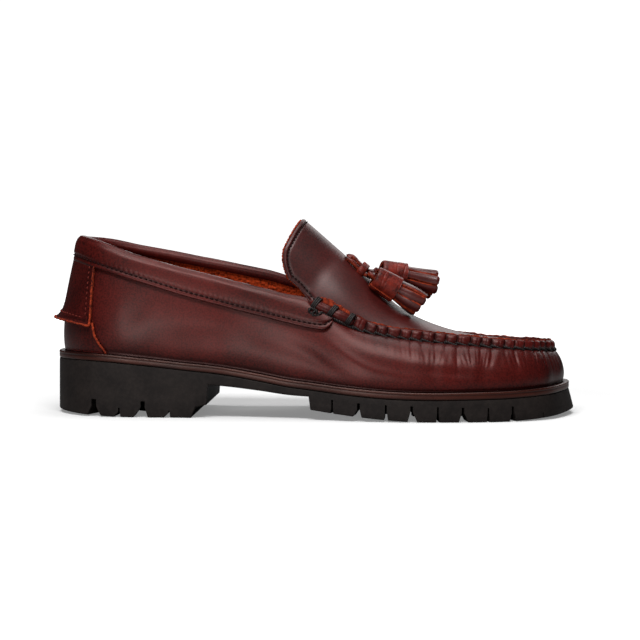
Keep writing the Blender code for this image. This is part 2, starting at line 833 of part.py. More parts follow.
def collar_section(upper, column, style):
    """Closed section of the collar: band outside, roll over the edge, short lining inside."""
    share = float(np.interp(abs(column), range(len(upper.shares)), upper.shares))
    depth = BAND_DEPTH * float(BAND("depth", share))
    skin = SKIN_GAP * (1 + 1.2 * float(ease(ramp(share, 0.40, 0.46))))
    outer = skin + OVERLAY
    inner = -(WALL + skin)
    low = upper.row_of(column, depth)
    if style == "band":
        high = upper.row_of(column, BAND_UNDER_SEAM)
        middle = (low + high) / 2
        steps = [(outer, middle), (outer, high)]
        steps += [(skin + OVERLAY * s, high) for s in (0.87, 0.75, 0.62, 0.5, 0.37, 0.25, 0.12)]
        steps += [(skin, high), (skin, middle)]
        points = [(skin, low, 0), (outer, low, 0)] + [(o, r, 0) for o, r in steps]
        points.insert(4, (outer, high - 0.01, 0))
        points = points[:14]
        return np.array([upper.at(column, r, o, u) for o, r, u in points])
    middle = (low + TOP_ROW) / 2
    high = upper.row_of(column, 0.004)
    start = [(skin, low, 0), (outer, low, 0), (outer, middle, 0), (outer + ROLL_SWELL, high, 0)]
    end = [(skin, TOP_ROW, skin), (skin, middle, 0)]
    rise = ROLL_RISE
    if style == "flush":
        over = [(outer, 0.55), (0.85 * outer, 0.60), (0.70 * outer, 0.65), (0.55 * outer, 0.65),
                (0.45 * outer, 0.6), (0.35 * outer, 0.5), (0.30 * outer, 0.4), (0.25 * outer, 0.3)]
        top = [(o, TOP_ROW, rise * u) for o, u in over]
        return np.array([upper.at(column, r, o, u) for o, r, u in start + top + end])
    deep = LINING_THICKNESS
    leg = upper.row_of(column, LINING_DEPTH)
    if style == "full":
        under = [(inner - deep, TOP_ROW, -0.0005), (inner - deep, leg, 0), (inner, leg, 0), (inner, TOP_ROW, skin)]
    else:
        under = [(inner - 0.0001, TOP_ROW, 0.55 * rise), (inner, TOP_ROW, 0.4 * rise),
                 (inner, TOP_ROW, 0.25 * rise), (inner, TOP_ROW, skin)]
        deep = 0.0
    top = [(0.75 * outer, TOP_ROW, 0.14 * rise), (0.05 * outer, TOP_ROW, 0.70 * rise),
           (0.8 * inner, TOP_ROW, rise), (inner - 0.62 * deep, TOP_ROW, 0.72 * rise)]
    return np.array([upper.at(column, r, o, u) for o, r, u in start + top + under + end])


def make_collar(shoe, upper, leather):
    throat = REAR_STEPS
    end = upper.column_of(BAND_END)
    half = [(float(k), "full") for k in range(1, throat - 1)]
    half += [(throat - 1.0, "cap"), (throat - 0.17, "cap"), (throat - 0.14, "flush"), (throat - 0.06, "flush"),
             (throat, "band"), (throat + 1.0, "band"), (end, "band")]
    columns = [(-c, style) for c, style in reversed(half)] + [(0.0, "full")] + half
    sections = [collar_section(upper, column, style) for column, style in columns]
    return shoe.add("collar", loft_mesh("collar", sections), leather, sharp=50)


def make_backstay(shoe, upper, leather):
    """Tab down the back of the heel, with a lip that stands off at its lower edge."""
    edge = upper.column_of(TAB_EDGE)
    whole = int(edge)
    columns = [-edge] + list(range(-whole, whole + 1)) + [edge]
    inner, outer = [], []
    for column in columns:
        side = abs(column) / edge
        foot = TAB_FOOT - TAB_FOOT_DROP * side ** 2
        share = float(np.interp(abs(column), range(len(upper.shares)), upper.shares))
        top = 1 - (BAND_DEPTH * float(BAND("depth", share)) + 3 * GAP) / QUARTER_HEIGHT
        flare = LIP_FLARE * (1 - 0.75 * side ** 2)
        rows = ((foot, flare), (foot + 0.04, 0.45 * flare), (0.40, 0.05 * flare), (0.56, 0), (0.70, 0), (top, 0))
        for grid, offset in ((inner, SKIN_GAP), (outer, SKIN_GAP + OVERLAY)):
            grid.append([upper.at(column, upper.row_at(t), offset + stand) for t, stand in rows])
    mesh = sheet_mesh("backstay", np.array(inner), np.array(outer))
    return shoe.add("backstay", mesh, leather, sharp=50)


def make_heel_counter(shoe, upper, leather):
    """Lower back piece from the midsole to just under the tab, wider at its foot."""
    rows = (0.012, 0.10, 0.17, None)
    edges = [upper.column_of(share) for share in COUNTER_EDGES]
    whole = int(min(edges))
    inner, outer = [], []
    for position in range(-whole - 2, whole + 3):
        side = min(abs(position) / upper.column_of(TAB_EDGE), 1)
        inner_column, outer_column = [], []
        for t, edge in zip(rows, edges):
            if t is None:
                t = TAB_FOOT - TAB_FOOT_DROP * side ** 2 - 0.012
            beyond = abs(position) - whole
            reach = whole + (edge - whole) * (0, 0.5, 1)[beyond] if beyond > 0 else abs(position)
            column = math.copysign(reach, position)
            for grid, offset in ((inner_column, COUNTER_GAP), (outer_column, COUNTER_GAP + OVERLAY)):
                grid.append(upper.at(column, upper.row_at(t), offset))
        inner.append(inner_column)
        outer.append(outer_column)
    mesh = sheet_mesh("heel_counter", np.array(inner), np.array(outer))
    return shoe.add("heel_counter", mesh, leather, sharp=50)


def seam_section(upper, position, pleat):
    """Section of the raised seam at a place along the U, from the outer throat round to the inner."""
    front = min(position, 2 * FRONT_STEPS - position)
    side = -1 if position <= FRONT_STEPS else 1
    column = side * (REAR_STEPS + front)
    share = float(np.interp(REAR_STEPS + front, range(len(upper.shares)), upper.shares))
    height = SEAM_HEIGHT * float(SEAM("height", share))
    seam = upper.at(column, TOP_ROW)
    row = upper.row_of(column, 0.0022)
    base = upper.at(column, row, SKIN_GAP * (1 + float(ramp(share, 0.8, 1.0))))
    normal = upper.at(column, TOP_ROW, 1.0) - seam
    outward = unit(np.array([normal[0], normal[1], 0]))
    path = apron_path(upper, front, side)
    offsets = (path - seam) @ outward
    rises = path[:, 2] - seam[2]
    limit = 1.0
    for share_of_path in np.linspace(0, 1, 41):
        o = np.interp(share_of_path, np.linspace(0, 1, len(path)), offsets)
        u = np.interp(share_of_path, np.linspace(0, 1, len(path)), rises)
        if o < -SEAM_WIDTH / 2 or u > height - 0.001:
            limit = share_of_path
            break
    touch = sample(path, limit)
    middle = sample(path, limit / 2)
    lift = apron_normal(path, outward) * SEAM_GAP
    inner_top = max(height, float(touch[2] - seam[2]) + 0.001)
    across = float((touch - seam) @ outward)
    crown = seam + UP * height * (1 - 0.06 * pleat)
    puff = outward * (PLEAT_DEPTH * pleat)
    top_outer = crown + outward * max(0.4 * SEAM_WIDTH, across + 0.0022) + puff * 0.5
    shoulder = base * 0.5 + (seam + UP * height * 0.5 + outward * 0.45 * SEAM_WIDTH) * 0.5 + outward * 0.0006 + puff
    top_inner = touch + lift + UP * (inner_top - float(touch[2] - seam[2]))
    corner = seam + unit(lift + (base - upper.at(column, row))) * SEAM_GAP
    return np.array([base, base + outward * 0.0006 + UP * 0.0008 + puff * 0.5, shoulder, top_outer, top_inner,
                     touch + lift, middle + lift, corner])


def apron_path(upper, front, side):
    """Faceted path from the seam up over the apron to its crest, at a fractional rung."""
    rung = min(front, len(upper.rungs) - 1.001)
    low = int(rung)
    mix = rung - low
    row = upper.rungs[low] * (1 - mix) + upper.rungs[low + 1] * mix
    if front > rung:
        tip = upper.wall[0, TOP_ROW]
        row = row + (tip - row) * min(front - rung, 0.999)
    middle = RUNG_STEPS // 2
    return row[:middle + 1] if side < 0 else row[:middle - 1:-1]


def sample(path, share):
    place = share * (len(path) - 1)
    return np.array([np.interp(place, range(len(path)), path[:, axis]) for axis in range(3)])


def apron_normal(path, outward):
    run = path[1] - path[0]
    across = run @ outward
    return unit(outward * run[2] - UP * across)


def make_apron_seam(shoe, upper, leather):
    """Puckered seam that stands up round the apron, two sections to a pleat."""
    tops = [upper.at(-(REAR_STEPS + q), TOP_ROW) for q in range(FRONT_STEPS + 1)]
    tops += [upper.at(REAR_STEPS + q, TOP_ROW) for q in range(FRONT_STEPS - 1, -1, -1)]
    steps = np.linalg.norm(np.diff(np.array(tops), axis=0), axis=1)
    lengths = np.concatenate([[0], np.cumsum(steps)])
    clear = 0.0010
    targets = np.linspace(clear, lengths[-1] - clear, 2 * PLEAT_COUNT + 1)
    positions = np.interp(targets, lengths, range(len(lengths)))
    sections = [seam_section(upper, position, k % 2) for k, position in enumerate(positions)]
    return shoe.add("apron_seam", loft_mesh("apron_seam", sections), leather, sharp=50)


# Thong and tassels


def tassel_place(upper, point):
    """Place and outward direction of a point given down the apron's crest, across to the
    outer side, and out from the leather."""
    down, across, out = point
    middle = RUNG_STEPS // 2
    crest = upper.rungs[:, middle]
    lengths = np.concatenate([[0], np.cumsum(np.linalg.norm(np.diff(crest, axis=0), axis=1))])
    rung = float(np.interp(down, lengths, range(len(lengths))))
    low = min(int(rung), len(upper.rungs) - 2)
    row = upper.rungs[low] * (low + 1 - rung) + upper.rungs[low + 1] * (rung - low)
    slope = unit(upper.rungs[low + 1] - upper.rungs[low])
    y = row[middle, 1] - across
    foot = np.array([np.interp(y, row[:, 1], row[:, axis]) for axis in range(3)])
    side = np.array([np.interp(y + 0.003, row[:, 1], row[:, axis]) for axis in range(3)]) \
        - np.array([np.interp(y - 0.003, row[:, 1], row[:, axis]) for axis in range(3)])
    along = np.array([np.interp(y, row[:, 1], slope[:, axis]) for axis in range(3)])
    normal = unit(np.cross(unit(along), unit(side)))
    return foot + normal * out, normal


def smooth_path(points, count, carried):
    """Evenly read smooth curve through the points, and the carried directions along it."""
    points = np.array(points)
    both = np.hstack([points, np.array(carried)])
    lengths = np.concatenate([[0], np.cumsum(np.linalg.norm(np.diff(points, axis=0), axis=1))])
    at = np.linspace(0, lengths[-1], count)
    read = np.column_stack([smooth_curve(lengths, both[:, axis], at) for axis in range(6)])
    return read[:, :3], unit(read[:, 3:])


def strap_path(upper, table, cap):
    """Points and flat directions of a thong that runs into the top of its cap."""
    placed = [tassel_place(upper, point) for point in table]
    start, end = (tassel_place(upper, point)[0] for point in cap)
    axis = unit(end - start)
    points = [place[0] for place in placed] + [start - axis * 0.003, start - axis * 2 * GAP]
    normals = [place[1] for place in placed] + [placed[-1][1]] * 2
    return smooth_path(points, 17, normals)


def make_strap(shoe, upper, name, table, cap, leather):
    """Flat thong along a smooth path, its flat side turned to the apron."""
    path, normals = strap_path(upper, table, cap)
    tangents = unit(np.gradient(path, axis=0))
    sections = []
    for point, tangent, flat in zip(path, tangents, normals):
        across = unit(np.cross(tangent, flat))
        thick = unit(np.cross(across, tangent))
        section = []
        for k in range(8):
            angle = (k + 0.5) * math.pi / 4
            section.append(point + across * math.cos(angle) * STRAP_WIDTH * 0.54
                           + thick * math.sin(angle) * STRAP_THICKNESS * 0.54)
        sections.append(section)
    return shoe.add(name, loft_mesh(name, np.array(sections)), leather)


def make_keeper(shoe, upper, leather):
    """Flat band around the two straps where they lie side by side."""
    far, flat = tassel_place(upper, THONG_FAR[KEEPER_AT])
    near = tassel_place(upper, THONG_NEAR[KEEPER_AT])[0]
    before = tassel_place(upper, THONG_FAR[KEEPER_AT - 1])[0] + tassel_place(upper, THONG_NEAR[KEEPER_AT - 1])[0]
    after = tassel_place(upper, THONG_FAR[KEEPER_AT + 1])[0] + tassel_place(upper, THONG_NEAR[KEEPER_AT + 1])[0]
    centre = (far + near) / 2
    axis = unit(after - before)
    apart = near - far
    side = unit(apart - axis * (apart @ axis))
    out = np.cross(axis, side)
    radial, axial = KEEPER_SECTION
    wide = np.linalg.norm(apart) / 2 + 0.54 * STRAP_WIDTH + 2 * GAP + radial
    thin = 0.54 * STRAP_THICKNESS + 3 * GAP + radial
    count = 20
    sections = []
    for k in range(count):
        angle = 2 * math.pi * (k + 0.5) / count
        c, s = math.cos(angle), math.sin(angle)
        place = (side * wide * math.copysign(abs(c) ** 0.55, c) + out * thin * math.copysign(abs(s) ** 0.55, s))
        away = unit(side * thin * c + out * wide * s)
        section = []
        for j in range(8):
            turn = (j + 0.5) * math.pi / 4
            section.append(centre + place + away * radial * math.cos(turn) + axis * axial * math.sin(turn))
        sections.append(section)
    points = np.array(sections).reshape(-1, 3)
    faces = []
    for k in range(count):
        for j in range(8):
            a, b = k * 8, (k + 1) % count * 8
            faces.append((a + j, a + (j + 1) % 8, b + (j + 1) % 8, b + j))
    return shoe.add("tassel_keeper", build_mesh("tassel_keeper", points, faces), leather)


def axis_frame(start, end):
    """Matrix that takes local -Z to the direction from start to end, with its origin at start."""
    z = Vector(unit(np.array(start) - np.array(end)))
    turn = z.to_track_quat("Z", "Y").to_matrix().to_4x4()
    return Matrix.Translation(Vector(start)) @ turn


def make_cap(shoe, upper, name, ends, leather):
    """Rolled cap: a turned cup, open where the fringe goes in."""
    start, end = (tassel_place(upper, point)[0] for point in ends)
    length = float(np.linalg.norm(end - start))
    inner = CAP_RADIUS_END - CAP_WALL
    profile = ((0, -length + CAP_RECESS), (inner, -length + CAP_RECESS), (inner, -length),
               (CAP_RADIUS_END, -length), (CAP_RADIUS_TOP, -0.0009), (0.8 * CAP_RADIUS_TOP, 0), (0, 0))
    mesh = bpy.data.meshes.new(name)
    mesh.from_pydata([(r, 0, z) for r, z in profile], [(k, k + 1) for k in range(len(profile) - 1)], [])
    made = shoe.add(name, mesh, leather)
    made.matrix_world = axis_frame(start, end)
    turned = made.modifiers.new("turned", "SCREW")
    turned.steps = 16
    turned.render_steps = 16
    turned.use_merge_vertices = True
    turned.merge_threshold = 1e-5
    turned.use_normal_calculate = True
    turned.use_normal_flip = True
    return made


def strip_mesh(name, turn, root, width, length, splay):
    """One cut strip: flat, rooted in the core and splaying out to its end."""
    stations = ((-0.6 * CAP_RECESS, root, 0.85), (0.0005, root, 0.9),
                (0.45 * length, root + 0.45 * splay, 1.0), (length, root + splay, 1.0))
    outward = np.array([math.cos(turn), math.sin(turn), 0])
    across = np.array([-math.sin(turn), math.cos(turn), 0])
    sections = []
    for reach, radius, share in stations:
        middle = outward * radius + np.array([0, 0, -reach])
        half = across * width / 2 * share
        thick = outward * STRIP_THICKNESS / 2
        sections.append([middle - half - thick, middle + half - thick, middle + half + thick, middle - half + thick])
    return loft_mesh(name, np.array(sections))


def make_fringe(shoe, upper, name, ends, length, leather):
    """Core in the cap's recess with the strips fused on around it."""
    start, end = (tassel_place(upper, point)[0] for point in ends)
    place = axis_frame(end, end + (end - start))
    radius = CAP_RADIUS_END - CAP_WALL - 2 * GAP - 0.3 * STRIP_THICKNESS
    deep = CAP_RECESS - 2 * GAP
    work = bmesh.new()
    bmesh.ops.create_cone(work, cap_ends=True, segments=12, radius1=radius * 0.9, radius2=radius, depth=deep + 0.003)
    bmesh.ops.translate(work, verts=work.verts, vec=(0, 0, (deep - 0.003) / 2))
    mesh = bpy.data.meshes.new(name)
    work.to_mesh(mesh)
    work.free()
    made = shoe.add(name, mesh, leather)
    made.matrix_world = place
    group = shoe.collection(name + "_strips", shoe.cutters)
    outer = CAP_RADIUS_END - CAP_WALL - 2 * GAP - STRIP_THICKNESS / 2
    strips = []
    for count, root, width, splay, start_turn in (
            (OUTER_STRIPS, outer, STRIP_WIDTH, FRINGE_SPLAY, 0.25),
            (INNER_STRIPS, 0.64 * outer, 0.85 * STRIP_WIDTH, 0.55 * FRINGE_SPLAY, 0.60)):
        strips += [(2 * math.pi * (k + start_turn) / count, root, width, splay) for k in range(count)]
    for k, (turn, root, width, splay) in enumerate(strips):
        reach = length * (1 - 0.05 * (k % 3))
        label = "%s_%02d" % (name, k)
        mesh = strip_mesh(label, turn, root, width, reach, splay * (1 - 0.2 * (k % 2)))
        strip = shoe.cutter(label, mesh, group)
        strip.matrix_world = place
        fuse = made.modifiers.new(strip.name, "BOOLEAN")
        fuse.operation = "UNION"
        fuse.solver = "EXACT"
        fuse.object = strip
    return made


def main():
    for old in list(bpy.data.objects):
        bpy.data.objects.remove(old, do_unlink=True)
    shoe = Shoe()
    rubber = material("black_rubber", (0.012, 0.012, 0.013), 0.62)
    edge = material("brown_edge", (0.075, 0.022, 0.014), 0.42)
    burgundy = material("burgundy_leather", (0.075, 0.010, 0.009), 0.30)
    strap_leather = material("thong_leather", (0.120, 0.014, 0.010), 0.45)
    footbed = material("footbed_leather", (0.180, 0.040, 0.020), 0.60)
    upper = Upper()
    make_outsole(shoe, rubber)
    make_midsole(shoe, edge)
    make_insole(shoe, footbed)
    make_upper(shoe, upper, burgundy)
    make_collar(shoe, upper, burgundy)
    make_backstay(shoe, upper, burgundy)
    make_heel_counter(shoe, upper, burgundy)
    make_apron_seam(shoe, upper, burgundy)
    make_strap(shoe, upper, "tassel_thong_far", THONG_FAR, CAP_FAR, strap_leather)
    make_strap(shoe, upper, "tassel_thong_near", THONG_NEAR, CAP_NEAR, strap_leather)
    make_keeper(shoe, upper, strap_leather)
    make_cap(shoe, upper, "tassel_cap_near", CAP_NEAR, strap_leather)
    make_cap(shoe, upper, "tassel_cap_far", CAP_FAR, strap_leather)
    make_fringe(shoe, upper, "tassel_fringe_near", CAP_NEAR, FRINGE_LENGTH_NEAR, strap_leather)
    make_fringe(shoe, upper, "tassel_fringe_far", CAP_FAR, FRINGE_LENGTH_FAR, strap_leather)


main()
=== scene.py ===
# Tassel loafer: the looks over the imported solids, in metres, in the same frame.
# The surface tables repeat the CAD's own, so each detailed piece lies on its solid.
import math

import bmesh
import bpy
import numpy as np
from mathutils import Matrix, Vector
from mathutils.bvhtree import BVHTree


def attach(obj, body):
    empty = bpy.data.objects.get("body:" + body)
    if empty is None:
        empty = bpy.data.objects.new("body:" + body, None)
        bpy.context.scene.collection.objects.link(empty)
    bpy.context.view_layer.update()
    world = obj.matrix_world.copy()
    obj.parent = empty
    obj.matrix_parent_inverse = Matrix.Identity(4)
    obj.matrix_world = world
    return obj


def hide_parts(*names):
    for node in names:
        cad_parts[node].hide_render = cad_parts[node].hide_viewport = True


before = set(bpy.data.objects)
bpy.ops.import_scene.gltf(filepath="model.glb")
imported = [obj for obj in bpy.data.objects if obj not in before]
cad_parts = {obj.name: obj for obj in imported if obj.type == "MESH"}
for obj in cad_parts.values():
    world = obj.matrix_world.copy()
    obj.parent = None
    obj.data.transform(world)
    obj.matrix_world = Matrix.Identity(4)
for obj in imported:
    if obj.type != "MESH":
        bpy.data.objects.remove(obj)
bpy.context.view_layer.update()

# Sizes of the last, the sole and the upper, as in the solids
SOLE_LENGTH = 0.2985
BALL_WIDTH = 0.107
HEEL_WIDTH = 0.074
HEEL_HEIGHT = 0.036
BALL_HEIGHT = 0.0165
TOE_SPRING = 0.0025
QUARTER_HEIGHT = 0.0645
INSTEP_RISE = 0.096
MIDSOLE_THICKNESS = 0.004
WALL = 0.002
GAP = 0.0003
SKIN_GAP = 0.00035
TOE_FLARE = 0.0028
UPPER_EDGE_INSET = 0.35
LIP_BEHIND = 0.003
WELT_MARGIN = 0.0045
WALL_BULGE = 0.0048
BAND_DEPTH = 0.014
LIP_FLARE = 0.0052
TAB_EDGE = 0.072
TAB_FOOT = 0.285
TAB_FOOT_DROP = 0.045
COUNTER_EDGES = (0.101, 0.087, 0.079, 0.075)
COUNTER_HEIGHTS = (0.012, 0.10, 0.17, 0.285)
COUNTER_FOOT = 0.008
TONGUE_DEPTH = 0.031
SEAM_HEIGHT = 0.0062
THROAT = 0.493
BAND_END = 0.531
TONGUE_TIP_ALONG = 0.474
TONGUE_SIDE_AT = 0.436
HEEL_X = -(SOLE_LENGTH + TOE_FLARE * (1 - UPPER_EDGE_INSET) - LIP_BEHIND) / 2

# Sizes of the tread
TREAD_BEVEL = 0.001
HEEL_LIFT = 0.0018
BALL_LIFT = 0.0057
TOE_LIFT = 0.003
BREAST_SLANT = 0.0038
WAIST_REAR_THICKNESS = 0.0069
WAIST_FRONT_THICKNESS = 0.0038
LUG_HEIGHT = 0.010
GROOVE_REACH = 0.0165
LUG_RING = 0.0155
CENTRE_LUG_RADIUS = 0.0088
WAIST_REAR = 0.294
WAIST_FRONT = 0.4866
BALL_REAR = 0.490
# Profile of the heel breast: share of the sole and height in millimetres, up to the arch
BREAST_STEPS = ((0.2640, 0.0), (0.2730, 6.1), (0.2935, 7.5))
BREAST_END = 0.2960
FEATURE_SHARES = tuple(step[0] for step in BREAST_STEPS) + (BREAST_END, WAIST_FRONT, BALL_REAR)
HEEL_FLAT_START = 0.16
BALL_FLAT_START = 0.698
BALL_FLAT_END = 0.825

# Edge grooves: place, roof as a share of the lug height, then in millimetres the roof's width
# and how far the rear and front lugs are cut back at the ground
GROOVES = (
    (0.079, 1.00, 3.0, 3.2, 3.0), (0.128, 0.55, 0.9, 2.8, 0.4), (0.173, 0.93, 2.4, 4.2, 1.8),
    (0.223, 0.40, 0.8, 2.6, 0.3), (0.531, 1.18, 1.0, 1.6, 0.5), (0.580, 1.04, 1.6, 4.4, 1.6),
    (0.631, 0.96, 1.1, 0.5, 0.8), (0.679, 0.91, 1.4, 1.6, 2.6), (0.728, 0.87, 1.0, 0.4, 0.5),
    (0.775, 0.84, 1.4, 1.6, 2.8), (0.823, 0.80, 1.0, 0.4, 0.4), (0.870, 0.86, 1.5, 1.4, 1.6),
    (0.929, 0.43, 0.8, 0.8, 0.4),
)
RECESSES = ((0.078, 0.222, 0.80), (0.545, 0.900, 0.88))
CENTRE_LUGS = (
    (0.115, 0.02), (0.183, 0.00), (0.583, -0.06), (0.648, -0.25), (0.648, 0.17), (0.713, -0.40),
    (0.713, 0.01), (0.713, 0.42), (0.778, -0.21), (0.778, 0.23), (0.843, -0.21), (0.843, 0.23),
)

# Sizes of the fine work
PUCKER_PITCH = 0.0066
STITCH_PITCH = 0.0030
STITCH_LENGTH = 0.0019
STITCH_RADIUS = 0.00036
STITCH_POINTS = 7
CORD_RADIUS = 0.00070
EDGE_INSET = 0.0028

# Studio: the floor's tone for the light it throws back and as it is seen, its glow, which grows to
# paper white with distance, the world's light, and softboxes by place, aim, size and power
FLOOR_REACH = 6
FLOOR_TONE = 0.30
FLOOR_SEEN = 0.60
FLOOR_GLOW = 0.22
GLOW_START, GLOW_END = 0.22, 0.9
PAPER_WHITE = 1.1
WHITE = (1, 1, 1, 1)
WORLD_LIGHT = 0.040
LIGHTS = (
    ("key", (-0.12, -0.66, 1.12), (0.02, 0.0, 0.05), (0.95, 0.40), 18.5),
    ("front", (-0.46, -1.50, 0.22), (-0.05, 0.0, 0.055), (0.36, 0.20), 7.0),
    ("top", (0.05, 0.20, 1.30), (0.0, 0.0, 0.05), (1.0, 0.6), 8),
    ("back", (0.25, 1.20, 0.60), (0.03, 0.0, 0.05), (1.4, 0.5), 5),
)

MM = 0.001
UP = np.array([0.0, 0.0, 1.0])


def smooth_curve(xs, ys, x):
    """Smooth curve through rows of values, read at x."""
    spread = (-1,) + (1,) * (np.ndim(ys) - 1)
    step = np.diff(xs).reshape(spread)
    slope = np.diff(ys, axis=0) / step
    tangent = np.empty(np.shape(ys))
    tangent[1:-1] = (slope[:-1] * step[1:] + slope[1:] * step[:-1]) / (step[1:] + step[:-1])
    tangent[0] = 1.5 * slope[0] - 0.5 * tangent[1]
    tangent[-1] = 1.5 * slope[-1] - 0.5 * tangent[-2]
    cell = np.clip(np.searchsorted(xs, x, side="right") - 1, 0, len(step) - 1)
    t = (x - xs[cell]) / np.diff(xs)[cell]
    if np.ndim(ys) > 1:
        t = t.reshape(spread)
    rise = (ys[cell + 1] - ys[cell]) * t * t * (3 - 2 * t)
    bend = step[cell] * (tangent[cell] * t * (1 - t) ** 2 - tangent[cell + 1] * t * t * (1 - t))
    return ys[cell] + rise + bend


def column(values):
    return np.reshape(values, (-1, 1))


def bell(x, middle, width):
    return np.exp(-((x - middle) / width) ** 2)


def arc_lengths(points):
    """Length along a path at each of its points."""
    return np.concatenate([[0], np.cumsum(np.linalg.norm(np.diff(points, axis=0), axis=1))])


def read_path(at, lengths, values):
    """Columns of values read at lengths along a path."""
    return np.column_stack([np.interp(at, lengths, values[:, axis]) for axis in range(3)])


def angle_of(share):
    return np.arccos(1 - 2 * np.clip(share, 0, 1))


def share_of(angle):
    return (1 - np.cos(angle)) / 2


class Table:
    """Rows of shares with named columns, read on a smooth curve through the rows."""

    def __init__(self, columns, rows, round_ends=False):
        self.columns = columns.split()
        self.rows = np.array(rows, dtype=float)
        self.place = angle_of if round_ends else np.asarray

    def __call__(self, name, at):
        values = self.rows[:, self.columns.index(name)]
        return smooth_curve(self.place(self.rows[:, 0]), values, self.place(np.asarray(at, dtype=float)))


OUTLINE = Table("at lateral medial", (
    (0.000, 0.054, 0.054), (0.027, -0.560, 0.650), (0.060, -0.810, 0.890), (0.121, -0.960, 1.000),
    (0.201, -0.992, 0.981), (0.285, -1.008, 0.932), (0.369, -1.015, 0.839), (0.470, -0.989, 0.770),
    (0.560, -1.007, 0.856), (0.638, -0.999, 0.933), (0.711, -1.000, 0.996), (0.805, -0.950, 0.972),
    (0.889, -0.815, 0.860), (0.950, -0.560, 0.660), (0.980, -0.265, 0.480), (1.000, 0.150, 0.150),
), round_ends=True)

SOLE_TOP = Table("at rise spring", (
    (0.000, 0.985, 0.00), (0.054, 1.000, 0.00), (0.097, 0.975, 0.00), (0.168, 0.885, 0.00),
    (0.242, 0.765, 0.00), (0.315, 0.650, 0.00), (0.396, 0.450, 0.00), (0.450, 0.300, 0.00),
    (0.487, 0.240, 0.00), (0.560, 0.120, 0.00), (0.634, 0.030, 0.00), (0.708, 0.000, 0.00),
    (0.782, 0.000, 0.08), (0.859, 0.000, 0.24), (0.919, 0.000, 0.56), (1.000, 0.000, 1.00),
))

MARGIN = Table("at margin", (
    (0.00, 1.04), (0.07, 0.93), (0.13, 0.71), (0.30, 0.67), (0.50, 0.67), (0.70, 0.75),
    (0.88, 0.90), (1.00, 1.00),
))

TOP_LINE = Table("at along lateral medial lateral_height medial_height", (
    (0.000, 0.044, 0.047, 0.047, 0.986, 0.986), (0.034, 0.056, -0.178, 0.262, 0.985, 0.979),
    (0.084, 0.091, -0.355, 0.411, 0.949, 0.966), (0.151, 0.151, -0.464, 0.505, 0.887, 0.930),
    (0.235, 0.232, -0.527, 0.551, 0.824, 0.899), (0.336, 0.332, -0.561, 0.542, 0.761, 0.859),
    (0.436, 0.436, -0.593, 0.561, 0.721, 0.833), (0.493, 0.493, -0.617, 0.589, 0.675, 0.783),
    (0.527, 0.527, -0.636, 0.611, 0.598, 0.684), (0.570, 0.569, -0.645, 0.626, 0.511, 0.560),
    (0.638, 0.636, -0.645, 0.636, 0.461, 0.468), (0.721, 0.721, -0.636, 0.636, 0.420, 0.400),
    (0.805, 0.805, -0.612, 0.625, 0.383, 0.348), (0.872, 0.866, -0.550, 0.580, 0.353, 0.318),
    (0.923, 0.908, -0.415, 0.505, 0.326, 0.300), (0.966, 0.942, -0.190, 0.390, 0.303, 0.289),
    (1.000, 0.962, 0.140, 0.140, 0.284, 0.284),
), round_ends=True)

SECTION = Table("at lateral_bulge medial_bulge roundness", (
    (0.00, 0.62, 0.62, 0.00), (0.12, 0.76, 0.70, 0.05), (0.25, 0.67, 0.55, 0.10),
    (0.40, 0.56, 0.45, 0.20), (0.49, 0.50, 0.45, 0.45), (0.57, 0.42, 0.42, 0.80),
    (0.70, 0.33, 0.33, 1.00), (0.85, 0.31, 0.31, 1.00), (1.00, 0.25, 0.25, 1.00),
))

CREST = Table("at along height roundness", (
    (0.493, 0.560, 0.771, 1.00), (0.527, 0.583, 0.702, 1.00), (0.570, 0.612, 0.613, 0.95),
    (0.638, 0.659, 0.478, 0.85), (0.721, 0.725, 0.373, 0.60), (0.805, 0.805, 0.303, 0.35),
    (0.872, 0.866, 0.282, 0.20), (0.923, 0.906, 0.269, 0.10), (0.966, 0.941, 0.254, 0.00),
    (1.000, 0.962, 0.212, 0.00),
))

TONGUE_TOP = Table("turn reach", (
    (0.00, 1.000), (0.50, 0.980), (0.66, 0.940), (0.77, 0.900), (0.87, 0.800), (0.94, 0.680),
    (1.00, 0.530),
))

BAND = Table("at depth", (
    (0.000, 0.86), (0.067, 0.96), (0.180, 0.95), (0.260, 1.01), (0.375, 1.04), (0.440, 1.02),
    (0.493, 0.97), (0.514, 0.76), (0.534, 0.42),
))

SEAM = Table("at height", (
    (0.493, 1.05), (0.527, 1.40), (0.560, 1.35), (0.600, 1.05), (0.700, 1.00), (0.870, 0.90),
    (1.000, 0.98),
))

THROAT_ANGLE = float(angle_of(THROAT))


def ease(t):
    t = np.clip(t, 0, 1)
    return t * t * (3 - 2 * t)


def ramp(x, start, end):
    return np.clip((x - start) / (end - start), 0, 1)


def x_at(share):
    return HEEL_X + np.asarray(share) * SOLE_LENGTH


def share_at(x):
    return (x - HEEL_X) / SOLE_LENGTH


def unit(vector):
    vector = np.asarray(vector, dtype=float)
    return vector / np.maximum(np.linalg.norm(vector, axis=-1, keepdims=True), 1e-12)


def half_width(share):
    return (HEEL_WIDTH + (BALL_WIDTH - HEEL_WIDTH) * ease(ramp(share, 0.32, 0.67))) / 2


def sole_top(share):
    lift = (HEEL_HEIGHT - BALL_HEIGHT) * SOLE_TOP("rise", share) + TOE_SPRING * SOLE_TOP("spring", share)
    return BALL_HEIGHT + lift


